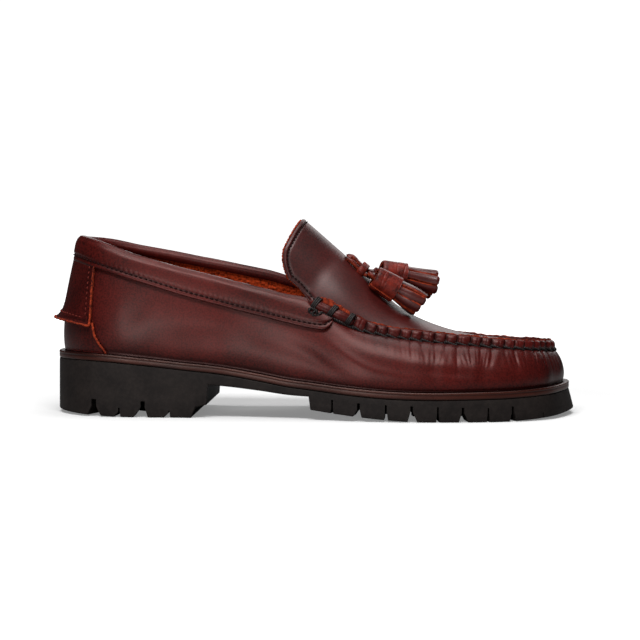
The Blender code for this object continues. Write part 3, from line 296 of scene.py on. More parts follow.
def outline(q, inset):
    """Plan of the sole at signed angles: negative is the outer side, zero the heel, pi the toe."""
    angle = np.abs(q)
    lateral = q < 0
    share = share_of(angle)

    def y_of(a):
        s = share_of(a)
        return half_width(s) * np.where(lateral, OUTLINE("lateral", s), OUTLINE("medial", s))

    step = 0.004
    ahead, behind = np.clip(angle + step, 0, np.pi), np.clip(angle - step, 0, np.pi)
    dx = x_at(share_of(ahead)) - x_at(share_of(behind))
    dy = y_of(ahead) - y_of(behind)
    sign = np.where(lateral, 1, -1)
    normal = unit(np.column_stack([-dy * sign, dx * sign]))
    normal[angle < step] = (1, 0)
    normal[angle > np.pi - step] = (-1, 0)
    return np.column_stack([x_at(share), y_of(angle)]) + normal * np.broadcast_to(inset, len(q))[:, None]


def wall_points(q, t):
    """Outer surface of the wall: columns at signed angles, rows at height shares."""
    angle = np.abs(q)
    share = share_of(angle)
    lateral = q < 0

    def pick(name):
        return np.where(lateral, TOP_LINE("lateral" + name, share), TOP_LINE("medial" + name, share))

    margin = WELT_MARGIN * MARGIN("margin", share)
    bottom = outline(q, margin)
    outward = unit(bottom - outline(q, margin + 0.002))
    along = x_at(TOP_LINE("along", share))
    top = np.column_stack([along, BALL_WIDTH / 2 * pick("")])
    foot = sole_top(share_at(bottom[:, 0])) + SKIN_GAP
    head = sole_top(share_at(along)) + QUARTER_HEIGHT * pick("_height")
    bulge = WALL_BULGE * np.where(lateral, SECTION("lateral_bulge", share), SECTION("medial_bulge", share))
    roundness = np.clip(SECTION("roundness", share), 0, 1)[:, None]
    closing = roundness * (1 - np.sqrt(1 - t * t)) + (1 - roundness) * t
    swell = bulge[:, None] * np.sin(np.pi * t ** 0.7)
    plan = bottom[:, None] + (top - bottom)[:, None] * closing[..., None]
    plan = plan + outward[:, None] * swell[..., None]
    height = foot[:, None] + (head - foot)[:, None] * t
    return np.concatenate([plan, height[..., None]], axis=2)


def grid_normals(grid, closed=False):
    """Unit normals of a grid, on the side that is out for the wall."""
    if closed:
        around = np.roll(grid, -1, axis=0) - np.roll(grid, 1, axis=0)
    else:
        around = np.gradient(grid, axis=0)
    return unit(np.cross(np.gradient(grid, axis=1), around))


class Wall:
    """Fine wall, read at signed angles, height shares and offsets."""

    def __init__(self):
        self.q = np.linspace(-np.pi, np.pi, 1441)[:-1]
        self.t = np.linspace(0, 1, 129)
        self.grid = wall_points(self.q, self.t)
        self.normals = grid_normals(self.grid, closed=True)
        self.height = self.grid[:, -1, 2] - self.grid[:, 0, 2]

    def read(self, grid, q, t):
        c = (np.asarray(q) + np.pi) / (2 * np.pi) * len(self.q)
        r = np.clip(t, 0, 1) * (len(self.t) - 1)
        c0 = np.floor(c).astype(int)
        r0 = np.minimum(np.floor(r).astype(int), len(self.t) - 2)
        u, v = (c - c0)[..., None], (r - r0)[..., None]
        a, b = c0 % len(self.q), (c0 + 1) % len(self.q)
        low = grid[a, r0] * (1 - u) + grid[b, r0] * u
        high = grid[a, r0 + 1] * (1 - u) + grid[b, r0 + 1] * u
        return low * (1 - v) + high * v

    def at(self, q, t, offset=0.0, up=0.0):
        q, t = np.broadcast_arrays(np.asarray(q, dtype=float), np.asarray(t, dtype=float))
        normal = unit(self.read(self.normals, q, t))
        point = self.read(self.grid, q, t) + normal * np.broadcast_to(offset, q.shape)[..., None]
        return point + UP * np.broadcast_to(up, q.shape)[..., None]

    def below(self, q, t):
        """Height from a place up to the top edge."""
        return (1 - t) * np.interp(np.asarray(q), self.q, self.height, period=2 * np.pi)

    def t_below(self, q, drop):
        """Height share that lies drop below the top edge."""
        return 1 - drop / self.below(q, 0)


wall = Wall()


def apron_points(angle, w):
    """Apron surface: rows at angles from the throat to the toe, across from -1 to 1."""
    share = share_of(angle)
    one = np.array([1.0])
    lateral = wall_points(-angle, one)[:, 0]
    medial = wall_points(angle, one)[:, 0]
    roundness = np.clip(CREST("roundness", share), 0, 1)[:, None]
    crest_y = (lateral[:, 1] + medial[:, 1]) / 2
    crest_z = BALL_HEIGHT + INSTEP_RISE * CREST("height", share)
    crest = np.column_stack([x_at(CREST("along", share)), crest_y, crest_z])
    v = np.sin(np.asarray(w) * np.pi / 2)
    drop = roundness * (1 - np.sqrt(np.maximum(1 - v * v, 0))) + (1 - roundness) * v * v
    edge = np.where((v < 0)[None, :, None], lateral[:, None], medial[:, None])
    points = crest[:, None] + (edge - crest[:, None]) * drop[..., None]
    points[..., 1] = crest[:, None, 1] + (edge[..., 1] - crest[:, None, 1]) * np.abs(v)
    return points


def tongue_points(reach, w):
    """Tongue surface above the throat: rows at shares of its reach, across from -1 to 1."""
    base = apron_points(np.array([THROAT_ANGLE]), w)[0]
    middle = apron_points(np.array([THROAT_ANGLE]), np.array([-1.0, 0.0, 1.0]))[0]
    lateral, crest, medial = middle
    tip = np.array([float(x_at(TONGUE_TIP_ALONG)), crest[1], BALL_HEIGHT + INSTEP_RISE])
    length = np.linalg.norm(tip - crest)
    direction = (tip - crest) / length
    down = np.array([-direction[2], 0, direction[0]])
    w = np.asarray(w)
    far = np.asarray(reach)[:, None] * length * TONGUE_TOP("reach", np.abs(w))
    inward = WALL + 3 * GAP
    y_lateral = BALL_WIDTH / 2 * float(TOP_LINE("lateral", TONGUE_SIDE_AT)) + inward - crest[1]
    y_medial = BALL_WIDTH / 2 * float(TOP_LINE("medial", TONGUE_SIDE_AT)) - inward - crest[1]
    edge = np.where((w < 0)[:, None], lateral, medial)
    lean = ease(far / (0.35 * length))[..., None]
    side = ((edge - crest) * np.array([1, 0, 1]))[None] * (1 - lean) + down * TONGUE_DEPTH * lean
    fold = np.cos(w * np.pi / 2)[None, :, None]
    points = crest + direction * far[..., None] + side * (1 - fold)
    tuck = ease(far / 0.004)
    y_side = np.where(w < 0, y_lateral, y_medial)
    y = (edge[:, 1] - crest[1]) * (1 - tuck) + y_side * tuck
    points[..., 1] = crest[1] + y * np.abs(np.sin(w * np.pi / 2))
    points[0] = points[0] if reach[0] > 0 else base
    return points


class Seam:
    """The seam's line from the outer throat round the toe to the inner throat, by length."""

    def __init__(self):
        near, far = np.linspace(-THROAT_ANGLE, -np.pi, 900), np.linspace(np.pi, THROAT_ANGLE, 900)
        q = np.concatenate([near, far[1:]])
        points = wall.at(q, np.ones(len(q)))
        self.turn = np.concatenate([q[:900], q[900:] - 2 * np.pi])
        self.lengths = arc_lengths(points)
        self.length = self.lengths[-1]
        self.count = int(round(self.length / PUCKER_PITCH))

    def angle(self, place):
        """Signed angle at a place that is counted in puckers."""
        turn = np.interp(np.asarray(place) / self.count * self.length, self.lengths, self.turn)
        return np.where(turn < -np.pi, turn + 2 * np.pi, turn)

    def share(self, place):
        return share_of(np.abs(self.angle(place)))

    def place_of(self, q):
        """Place in puckers of a signed angle on the seam; the throat's end for the rear."""
        turn = np.where(np.asarray(q) < 0, q, np.asarray(q) - 2 * np.pi)
        order = -self.turn
        return np.interp(-turn, order, self.lengths) / self.length * self.count

    def frame(self, place):
        """Point on the seam, its direction, outward direction and upward direction."""
        place = np.asarray(place, dtype=float)
        q = self.angle(place)
        point = wall.at(q, np.ones(len(q)))
        near = 0.15
        ahead = wall.at(self.angle(np.minimum(place + near, self.count)), np.ones(len(q)))
        behind = wall.at(self.angle(np.maximum(place - near, 0)), np.ones(len(q)))
        tangent = unit(ahead - behind)
        up = unit(UP - tangent * (tangent @ UP)[:, None])
        outward = np.cross(up, tangent)
        normal = wall.read(wall.normals, q, np.full(len(q), 0.97))
        outward *= np.sign((outward * normal).sum(axis=1))[:, None]
        return point, tangent, outward, up


seam = Seam()


def beside(line, out, rise):
    """Points out from and over a line that is given by its frame."""
    point, _, outward, up = line
    return point + outward * column(out) + up * column(rise)


# Materials


def plug(tree, made, inputs):
    """Sets a node's inputs, and links those that are given a socket."""
    for key, value in inputs.items():
        if isinstance(value, bpy.types.NodeSocket):
            tree.links.new(value, made.inputs[key])
        else:
            made.inputs[key].default_value = value


def node(tree, kind, inputs=None, **settings):
    made = tree.nodes.new("ShaderNode" + kind)
    for key, value in settings.items():
        setattr(made, key, value)
    plug(tree, made, inputs or {})
    return made


def noise_amount(tree, vector, scale, detail, low, high, top):
    """Noise spread from zero at its low value to top at its high one."""
    noise = node(tree, "TexNoise", {"Vector": vector, "Scale": scale, "Detail": detail})
    limits = {"Value": noise.outputs["Fac"], "From Min": low, "From Max": high, "To Max": top}
    return node(tree, "MapRange", limits).outputs["Result"]


def added(tree, first, second):
    return node(tree, "Math", {0: first, 1: second}, operation="ADD", use_clamp=True).outputs["Value"]


def surface(name, colour, roughness, dark=None, mottle=0.0, mottle_scale=60, grain=0.0, grain_scale=1500,
            specular=0.5, tint=(1.0, 1.0, 1.0), streak=None, speck=0.0, speck_scale=1100):
    """Principled material whose colour drifts to a darker one by noise and by the piece's own shade,
    with a fine bump for grain."""
    made = bpy.data.materials.new(name)
    made.use_nodes = True
    tree = made.node_tree
    shader = tree.nodes["Principled BSDF"]
    plug(tree, shader, {"Base Color": (*colour, 1), "Roughness": roughness, "Specular IOR Level": specular,
                        "Specular Tint": (*tint, 1)})
    place = node(tree, "TexCoord").outputs["Object"]
    if dark:
        stretched = place
        if streak:
            stretched = node(tree, "Mapping", {"Vector": place, "Scale": streak}).outputs["Vector"]
        shade = node(tree, "Attribute", attribute_name="shade").outputs["Fac"]
        total = added(tree, noise_amount(tree, stretched, mottle_scale, 6, 0.35, 0.70, mottle), shade)
        if speck:
            total = added(tree, total, noise_amount(tree, place, speck_scale, 2, 0.40, 0.66, speck))
        mix = node(tree, "Mix", {"A": (*colour, 1), "B": (*dark, 1), "Factor": total}, data_type="RGBA")
        plug(tree, shader, {"Base Color": mix.outputs["Result"]})
    if grain:
        relief = node(tree, "TexNoise", {"Vector": place, "Scale": grain_scale, "Detail": 4})
        bump = node(tree, "Bump", {"Strength": grain, "Distance": 0.0002, "Height": relief.outputs["Fac"]})
        plug(tree, shader, {"Normal": bump.outputs["Normal"]})
    return made


RED_GLOSS = (1.0, 0.66, 0.62)
POLISHED = {"mottle": 0.42, "grain": 0.20, "speck": 0.50}
CUT = {"mottle_scale": 160, "grain": 0.25, "grain_scale": 900}
LEATHER = surface("burgundy_leather", (0.078, 0.0068, 0.0054), 0.38, dark=(0.014, 0.0011, 0.0010),
                  mottle_scale=45, grain_scale=900, specular=0.27, tint=RED_GLOSS, **POLISHED)
# Darker base than the quarters' leather as painted shade on the upward-facing apron; glossier too
SHADED_APRON_LEATHER = surface("apron_leather_painted_darker", (0.060, 0.0058, 0.0048), 0.44, dark=(0.012, 0.0010, 0.0009),
                        mottle_scale=45, grain_scale=900, specular=0.42, tint=(1.0, 0.82, 0.80), **POLISHED)
COLLAR_LEATHER = surface("collar_leather", (0.082, 0.0072, 0.0056), 0.38, dark=(0.014, 0.0010, 0.0009),
                         mottle_scale=40, grain_scale=1100, specular=0.26, tint=RED_GLOSS, **POLISHED)
STRAP_LEATHER = surface("thong_leather", (0.205, 0.0190, 0.0105), 0.40, dark=(0.024, 0.0018, 0.0014),
                        mottle=0.65, specular=0.32, tint=RED_GLOSS, speck=0.35, **CUT)
FRINGE_LEATHER = surface("fringe_leather", (0.096, 0.0120, 0.0090), 0.32, dark=(0.020, 0.0016, 0.0014),
                         mottle=0.5, specular=0.62, tint=(1.0, 0.86, 0.84), speck=0.30, **CUT)
RAW_EDGE = surface("raw_edge", (0.330, 0.0380, 0.0100), 0.85, dark=(0.060, 0.0060, 0.0024), mottle=0.8,
                   mottle_scale=600, grain=0.7, grain_scale=2500, specular=0.15)
SUEDE = surface("suede_lining", (0.420, 0.0460, 0.0100), 0.95, dark=(0.028, 0.0024, 0.0012), mottle=0.85,
                mottle_scale=800, grain=0.9, grain_scale=2200, specular=0.05)
SEAM_THREAD = surface("waxed_thread", (0.0105, 0.0062, 0.0058), 0.50, dark=(0.002, 0.001, 0.001), mottle=0.7,
                      mottle_scale=1300, grain=0.5, grain_scale=3000, specular=0.25)
STITCH_THREAD = surface("stitch_thread", (0.012, 0.0013, 0.0012), 0.75, specular=0.15)
TAB_THREAD = surface("tab_thread", (0.105, 0.0125, 0.0085), 0.75, specular=0.15)
EDGE_BROWN = surface("midsole_edge", (0.056, 0.0115, 0.0062), 0.38, dark=(0.009, 0.0013, 0.0010), mottle=0.8,
                     mottle_scale=30, grain=0.35, grain_scale=700, streak=(1, 1, 6), specular=0.34,
                     tint=(1.0, 0.75, 0.68))
RUBBER = surface("black_rubber", (0.0078, 0.0056, 0.0052), 0.64, dark=(0.022, 0.0165, 0.0145), mottle=0.45,
                 mottle_scale=90, grain=0.40, grain_scale=700, specular=0.15, speck=0.25, speck_scale=500)
FOOTBED = surface("footbed_leather", (0.120, 0.0150, 0.0070), 0.75, dark=(0.050, 0.006, 0.003), mottle=0.5,
                  mottle_scale=40, grain=0.3, grain_scale=900, specular=0.2)
# Near-black for the painted shadow inside the thong's hole
HOLE = surface("painted_hole_shadow", (0.006, 0.002, 0.002), 0.9, specular=0.1)


# Meshes


def add_piece(name, points, faces, materials, slots=None, shade=None, replaces=(), slot="leather"):
    """Mesh piece riding on the shoe, with a shade value per point that darkens it."""
    mesh = bpy.data.meshes.new(name)
    points = np.asarray(points, dtype=float).reshape(-1, 3)
    mesh.from_pydata(points.tolist(), [], faces.tolist() if isinstance(faces, np.ndarray) else faces)
    for item in materials:
        mesh.materials.append(item)
    if slots is not None:
        mesh.polygons.foreach_set("material_index", np.asarray(slots, dtype=np.int32))
    if shade is not None:
        layer = mesh.attributes.new("shade", "FLOAT", "POINT")
        layer.data.foreach_set("value", np.asarray(shade, dtype=np.float32).ravel())
    mesh.shade_smooth()
    mesh.update()
    made = linked(name, mesh)
    if replaces:
        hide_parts(*replaces)
    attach(made, "root")
    return made


def linked(name, data):
    """Object of the scene that shows the data."""
    made = bpy.data.objects.new(name, data)
    bpy.context.scene.collection.objects.link(made)
    return made


def add_grid(name, grid, materials, close_rows=False, close_columns=False, flip=False, **settings):
    """Piece of one grid of points."""
    faces = grid_faces(*grid.shape[:2], close_rows, close_columns)
    return add_piece(name, grid, faces[:, ::-1] if flip else faces, materials, **settings)


def grid_faces(rows, columns, close_rows=False, close_columns=False, start=0):
    r = np.arange(rows if close_rows else rows - 1)
    c = np.arange(columns if close_columns else columns - 1)
    r, c = np.meshgrid(r, c, indexing="ij")
    r1, c1 = (r + 1) % rows, (c + 1) % columns
    quads = np.stack([r * columns + c, r * columns + c1, r1 * columns + c1, r1 * columns + c], axis=-1)
    return quads.reshape(-1, 4) + start


def shell(outer, inner, close_rows=False):
    """Points, faces and slots of a sheet with thickness: 0 outside, 1 inside, 2 its edges."""
    rows, columns = outer.shape[:2]
    size = rows * columns
    out = grid_faces(rows, columns, close_rows)
    back = grid_faces(rows, columns, close_rows, start=size)[:, ::-1]
    index = np.arange(size).reshape(rows, columns)
    if close_rows:
        rims = [np.append(index[:, 0], index[0, 0]), np.append(index[:, -1], index[0, -1])[::-1]]
    else:
        rims = [np.concatenate([index[:, 0], index[-1, 1:], index[-2::-1, -1], index[0, -2::-1]])]
    edge = np.vstack([np.column_stack([rim[:-1] + size, rim[1:] + size, rim[1:], rim[:-1]]) for rim in rims])
    points = np.vstack([outer.reshape(-1, 3), inner.reshape(-1, 3)])
    return points, np.vstack([out, back, edge]), np.repeat([0, 1, 2], [len(out), len(back), len(edge)])


def tube(path, radius, sides=8, flat=1.0, normal=None):
    """Points and faces of a tube with closed ends along a path; flat squeezes it along normal."""
    path = np.asarray(path, dtype=float)
    tangent = unit(np.gradient(path, axis=0))
    if normal is None:
        guess = UP if abs(tangent[0][2]) < 0.9 else np.array([1.0, 0.0, 0.0])
        across = [unit(np.cross(tangent[0], guess))]
        for here in tangent[1:]:
            across.append(unit(across[-1] - here * (across[-1] @ here)))
        across = np.array(across)
    else:
        across = unit(np.cross(tangent, normal))
    thick = unit(np.cross(across, tangent))
    turn = 2 * np.pi * np.arange(sides) / sides
    ring = across[:, None] * column(np.cos(turn)) + thick[:, None] * column(np.sin(turn)) * flat
    points = path[:, None] + ring * np.broadcast_to(radius, len(path))[:, None, None]
    faces = grid_faces(len(path), sides, close_columns=True).tolist()
    faces.append(list(range(sides))[::-1])
    faces.append(list(range((len(path) - 1) * sides, len(path) * sides)))
    return points.reshape(-1, 3), faces


def joined(parts):
    """Several (points, faces) as one."""
    faces, start = [], 0
    for part_points, part_faces in parts:
        faces += [[int(i) + start for i in face] for face in part_faces]
        start += len(part_points)
    return np.vstack([part[0] for part in parts]), faces


def smooth_path(points, count):
    points = np.array(points, dtype=float)
    lengths = arc_lengths(points[:, :3])
    return smooth_curve(lengths, points, np.linspace(0, lengths[-1], count))


NOISE_WAVES = 5


def wave_noise(points, scale, seed, octaves=3):
    """Smooth made-up relief from summed sine waves in fixed random directions."""
    source = np.random.default_rng(seed)
    total = np.zeros(points.shape[:-1])
    for octave in np.repeat(range(octaves), NOISE_WAVES):
        direction = unit(source.normal(size=3)) * scale * 2 ** octave
        total += np.sin(points @ direction + source.uniform(0, 6.28)) / 2 ** octave
    return total / NOISE_WAVES


def stitches(path, normals, pitch=STITCH_PITCH, length=STITCH_LENGTH, radius=STITCH_RADIUS, sink=0.25):
    """Row of short thread dashes along a path on a surface."""
    lengths = arc_lengths(path)
    arch = np.sin(np.linspace(0, np.pi, STITCH_POINTS))
    lift = column(radius * (arch - sink - 0.6 * (1 - arch)))
    parts = []
    for start in np.arange(pitch * 0.5, lengths[-1] - length, pitch):
        at = start + np.linspace(0, length, STITCH_POINTS)
        points = read_path(at, lengths, path) + read_path(at, lengths, normals) * lift
        parts.append(tube(points, radius * (0.55 + 0.45 * arch), 6))
    return joined(parts)


# Camera at the photograph's place: outer side, a little above, rolled by a third of a degree

CAMERA_PLACE = (0.00283, -1.100, 0.12031)
CAMERA_PITCH, CAMERA_ROLL = math.radians(3.47), math.radians(0.35)
FOCAL_PIXELS = 1893.3
PICTURE_WIDTH = 640
SENSOR_WIDTH = 36


def make_camera():
    lens = bpy.data.cameras.new("camera")
    lens.sensor_width = SENSOR_WIDTH
    lens.lens = FOCAL_PIXELS / PICTURE_WIDTH * SENSOR_WIDTH
    camera = linked("camera", lens)
    ahead = Vector((0, math.cos(CAMERA_PITCH), -math.sin(CAMERA_PITCH)))
    right = Vector((1, 0, 0))
    above = right.cross(ahead)
    side = right * math.cos(CAMERA_ROLL) + above * math.sin(CAMERA_ROLL)
    top = above * math.cos(CAMERA_ROLL) - right * math.sin(CAMERA_ROLL)
    turn = Matrix((side, top, -ahead)).transposed().to_4x4()
    camera.matrix_world = Matrix.Translation(CAMERA_PLACE) @ turn
    bpy.context.scene.camera = camera


# Upper


def uneven(place):
    """Place on the seam with wide and narrow puckers."""
    return place + 0.07 * np.sin(place * 2.1) + 0.03 * np.sin(place * 5.3)


def pucker_wave(place):
    """One over most of a pucker, zero in the groove between two."""
    return np.abs(np.sin(np.pi * uneven(place))) ** 0.42


# Soft troughs and ridges, placed one by one: outer side, share along, height share, turn, length,
# width, depth (a negative depth is a ridge)
CREASES = (
    (1, 0.300, 0.30, 0.10, 0.060, 0.010, 0.0006), (1, 0.420, 0.42, -0.25, 0.050, 0.012, 0.0007),
    (1, 0.500, 0.30, -0.35, 0.034, 0.008, 0.0006), (1, 0.560, 0.50, -0.45, 0.030, 0.007, -0.0004),
    (1, 0.640, 0.45, -0.20, 0.045, 0.009, 0.0005), (1, 0.760, 0.40, -0.10, 0.050, 0.008, 0.0005),
    (1, 0.160, 0.45, 0.90, 0.030, 0.010, 0.0005), (-1, 0.300, 0.35, 0.10, 0.060, 0.012, 0.0007),
    (-1, 0.450, 0.35, -0.30, 0.050, 0.010, 0.0007), (-1, 0.640, 0.45, -0.20, 0.045, 0.009, 0.0006),
)


def crease_depth(q, t):
    """Depth of the placed creases at signed angles and height shares."""
    share = share_of(np.abs(q))
    depth = np.zeros(np.broadcast(q, t).shape)
    for side, at, height, turn, length, width, deep in CREASES:
        x = (share - at) * SOLE_LENGTH
        z = (t - height) * 0.045
        along = x * math.cos(turn) + z * math.sin(turn)
        across = -x * math.sin(turn) + z * math.cos(turn)
        here = np.exp(-(along / (0.45 * length)) ** 2 - (across / (0.6 * width)) ** 2)
        depth += deep * here * (np.sign(-q) == side)
    return depth


# Depths of the gathers: pucker, crease between two, long folds, fine folds and crumple
PUCKER_DEPTH = 0.00050
CREASE_DEPTH = 0.00044
LONG_FOLD_DEPTH = 0.00026
FINE_FOLD_DEPTH = 0.00009
CRUMPLE_DEPTH = 0.00006


def gathers(q, t):
    """Small folds of the vamp under the seam: high where the puckers pull, gone lower down."""
    place = seam.place_of(q)
    share = share_of(np.abs(q))
    below = wall.below(q, t)
    active = ease(ramp(share, 0.545, 0.62)) * (0.6 + 0.4 * ease(ramp(share, 0.60, 0.80)))
    pulled = ease(ramp(share, 0.57, 0.74))
    strong = 0.5 + 0.5 * np.sin(place * 2.9 + 1.3 * np.sin(place * 1.1))
    lobe = pucker_wave(place) * np.exp(-np.maximum(below - 0.0015, 0) / 0.0026)
    drift = uneven(place) + 0.22 * np.sin(place * 1.7) * ramp(below, 0.002, 0.012)
    crease = np.abs(np.cos(np.pi * drift)) ** 12
    crease = crease * (0.35 + 0.65 * strong) * bell(below, 0.0045, 0.0030 + 0.0055 * strong)
    sway = 3 * np.sin(place * 0.9) + 500 * below * np.sin(place * 1.3)
    fine = np.sin(2 * np.pi * drift * 2.3 + sway) * bell(below, 0.0065, 0.0050)
    long_fold = np.sin(2 * np.pi * drift * 0.43 + 1.0) * bell(below, 0.012, 0.009)
    crumple = wave_noise(wall.at(q, t), 800, 17) * bell(below, 0.006, 0.009)
    folds = FINE_FOLD_DEPTH * fine + LONG_FOLD_DEPTH * long_fold + CRUMPLE_DEPTH * crumple
    folds = folds - CREASE_DEPTH * crease
    return active * (PUCKER_DEPTH * (lobe - 0.4 * np.exp(-below / 0.003)) + pulled * folds)


def make_quarters():
    """Wall of the upper with its gathers and creases, leather outside, lining inside."""
    front = np.linspace(THROAT_ANGLE, np.pi, 321)
    q = np.concatenate([-front[::-1], np.linspace(-THROAT_ANGLE, THROAT_ANGLE, 221)[1:-1], front[:-1]])
    t = np.concatenate([np.linspace(0, 0.55, 20)[:-1], np.linspace(0.55, 1, 36)])
    q, t = np.meshgrid(q, t, indexing="ij")
    offset = gathers(q, t) - crease_depth(q, t) + 0.00010 * wave_noise(wall.at(q, t), 160, 3)
    points, faces, slots = shell(wall.at(q, t, offset), wall.at(q, t, -WALL), close_rows=True)
    share = share_of(np.abs(q))
    # Painted shade at the wall's foot by the welt, under the raised seam and toward the heel and the toe
    foot = 0.45 * np.exp(-t / 0.10) + 0.9 * np.exp(-t / 0.022)
    shade_under_seam = 0.35 * ease(ramp(share, 0.50, 0.58)) * np.exp(-wall.below(q, t) / 0.004)
    ends = 0.75 * np.exp(-share / 0.07) + 0.30 * ease(ramp(share, 0.84, 1.0))
    shade = (foot + shade_under_seam + ends).ravel()
    add_piece("quarters", points, faces, [LEATHER, SUEDE, RAW_EDGE], slots, np.append(shade, 0 * shade),
              replaces=["upper"])


TONGUE_ROWS = 76


def tongue_rim(grid, normals):
    """Free edge of the tongue from side to side: points, normals, the way inwards and lengths."""
    last = TONGUE_ROWS - 2
    edge, normal = (np.concatenate([a[last:0:-1, 0], a[0], a[1:last, -1]]) for a in (grid, normals))
    lengths = arc_lengths(edge)
    fine = np.linspace(0, lengths[-1], 520)
    edge, normal = read_path(fine, lengths, edge), unit(read_path(fine, lengths, normal))
    tangent = np.gradient(edge, axis=0)
    for _ in range(12):
        tangent[1:-1] = (tangent[:-2] + 2 * tangent[1:-1] + tangent[2:]) / 4
    inward = unit(np.cross(normal, unit(tangent)))
    centre = grid[:TONGUE_ROWS].reshape(-1, 3).mean(axis=0)
    inward *= np.sign(((centre - edge) * inward).sum(axis=1).mean())
    return edge, normal, inward, fine


def make_apron():
    """Apron and tongue as one curved sheet, with the stitched groove round the tongue's edge."""
    w = np.linspace(-1, 1, 121)
    angle = THROAT_ANGLE + (np.pi - THROAT_ANGLE) * np.linspace(0, 1, 150)[1:] ** 1.1
    grid = np.concatenate([tongue_points(np.linspace(1, 0, TONGUE_ROWS), w), apron_points(angle, w)])
    blur = grid.copy()
    for _ in range(160):
        blur[1:-1] = (blur[:-2] + 2 * blur[1:-1] + blur[2:]) / 4
    row = np.arange(len(grid))[:, None]
    weight = (bell(row, 72, 22.0) * ease((1 - np.abs(w)) / 0.05))[..., None]
    grid = grid * (1 - weight) + blur * weight
    normals = -grid_normals(grid)
    normals *= np.sign((normals[:, 60] @ UP)).mean()
    rim = tongue_rim(grid, normals)
    distance = np.ones(grid.shape[:2])
    tongue = grid[:TONGUE_ROWS, :, None]
    distance[:TONGUE_ROWS] = np.linalg.norm(tongue - rim[0][None, None, ::3], axis=3).min(axis=2)
    fade = ease(ramp(row, TONGUE_ROWS, TONGUE_ROWS - 6))
    groove = bell(distance, EDGE_INSET, 0.0006) * fade
    bead = bell(distance, EDGE_INSET - 0.0014, 0.0007) * fade
    offset = 0.0003 * bead - 0.0005 * groove + 0.00008 * wave_noise(grid, 120, 5)
    offset = offset - 0.0006 * np.exp(-distance / 0.0005)
    outer = grid + normals * offset[..., None]
    points, faces, slots = shell(outer, grid - normals * WALL * 0.9)
    # Painted shade in the groove, across the tongue's middle and by the seam; darker at the tongue's edge
    middle = bell(row / TONGUE_ROWS, 0.55 + 0.35 * w, 0.28)
    side = np.minimum(*(np.linalg.norm(grid - grid[:, edge], axis=2) for edge in (np.s_[:1], np.s_[-1:])))
    foot = (row >= TONGUE_ROWS) * np.exp(-side / 0.004)
    shade = (0.85 * groove + 0.25 * np.exp(-distance / 0.0008) + 0.30 * middle + 0.45 * foot).ravel()
    add_piece("apron_and_tongue", points, faces, [SHADED_APRON_LEATHER, SUEDE, RAW_EDGE], slots,
              np.append(shade, 0 * shade))
    make_tongue_edge(outer, rim)


def make_tongue_edge(outer, rim):
    """Stitches in the tongue's groove, and the lining that shows past its edge."""
    edge, normal, inward, arc = rim
    tree = BVHTree.FromPolygons(outer.reshape(-1, 3).tolist(), grid_faces(*outer.shape[:2]).tolist())
    path = np.array([tree.find_nearest(Vector(point))[0] for point in edge + inward * EDGE_INSET])
    points, faces = stitches(path, normal, pitch=0.0023, length=0.0015, radius=0.00042, sink=0.1)
    add_piece("tongue_stitches", points, faces, [STITCH_THREAD])
    wave = 0.00014 * np.sin(arc * 2600 + 2 * np.sin(arc * 700)) + 0.00012 * np.sin(arc * 5900)
    sheets = []
    for out, deep in ((-6.0, 1.3), (-0.5, 1.3), (0.4, 1.3), (0.7, 1.7), (0.4, 2.2), (-1.0, 2.3), (-6.0, 2.3)):
        ripple = wave * (out > -0.8)
        sheets.append(edge - inward * column(out * MM + ripple) - normal * deep * MM)
    add_grid("tongue_lining", np.array(sheets), [SUEDE], shade=np.full(len(sheets) * len(arc), 0.25))


def make_lining():
    """Curly suede lining on the inside of the quarters."""
    q = np.linspace(-THROAT_ANGLE - 0.25, THROAT_ANGLE + 0.25, 860)
    q, t = np.meshgrid(q, np.linspace(0.10, 0.97, 112), indexing="ij")
    base = wall.at(q, t)
    curl = 0.00050 * wave_noise(base, 3600, 11, 2) + 0.00020 * wave_noise(base, 1100, 12, 2)
    # Painted shade in the hollows of the curls
    add_grid("quarter_lining", wall.at(q, t, -WALL - 0.0008 + curl), [SUEDE], flip=True,
             shade=np.clip(-curl / 0.0009, 0, 1) * 0.9, slot="footbed")


# Collar

COLLAR_SECTION = (
    (0.3, "foot", 0.0), (1.2, "foot", -0.12), (1.9, "foot", 0.05), (2.15, "foot", 1.0), (2.0, "foot", 2.5),
    (2.3, "foot", 3.8), (2.7, "part", 0.62), (2.9, "part", 0.34), (2.7, "top", -1.6), (2.0, "top", 0.2),
    (0.9, "top", 1.45), (-0.8, "top", 2.25), (-2.6, "top", 2.2), (-3.9, "top", 1.2), (-4.5, "top", -0.4),
    (-4.4, "top", -2.2), (-3.8, "top", -3.6), (-2.9, "top", -3.9), (-2.3, "top", -3.0),
)
COLLAR_TIP = 0.0029
COLLAR_STRIP = -0.0028
COLLAR_STITCH = 0.0026


def collar_depth(share):
    return BAND_DEPTH * BAND("depth", np.minimum(share, BAND_END))


def near_drop(q):
    """How much lower the collar sits along the middle of the outer side."""
    share = share_of(np.abs(q))
    return 0.0012 * (q < 0) * ease(ramp(share, 0.06, 0.18)) * ease(ramp(share, 0.49, 0.40))


def collar_profile(depth, drop, roll):
    """Way round the collar's section, and its offsets and heights: the roll, and past it the flat band."""
    offsets, heights = [], []
    for out, kind, value in COLLAR_SECTION:
        height = {"foot": value * MM - depth, "part": -depth * value, "top": value * MM - drop}[kind]
        flat = COLLAR_STRIP if kind == "top" else np.minimum(height, COLLAR_STRIP)
        offsets.append(out * MM * roll + max(out * MM, 0.0004) * (1 - roll))
        heights.append(height * roll + flat * (1 - roll))
    knots = np.arange(len(COLLAR_SECTION), dtype=float)
    fine = np.linspace(0, knots[-1], 61)
    offsets, heights = (smooth_curve(knots, np.array(rows), fine).T for rows in (offsets, heights))
    return fine / fine[-1], offsets, heights


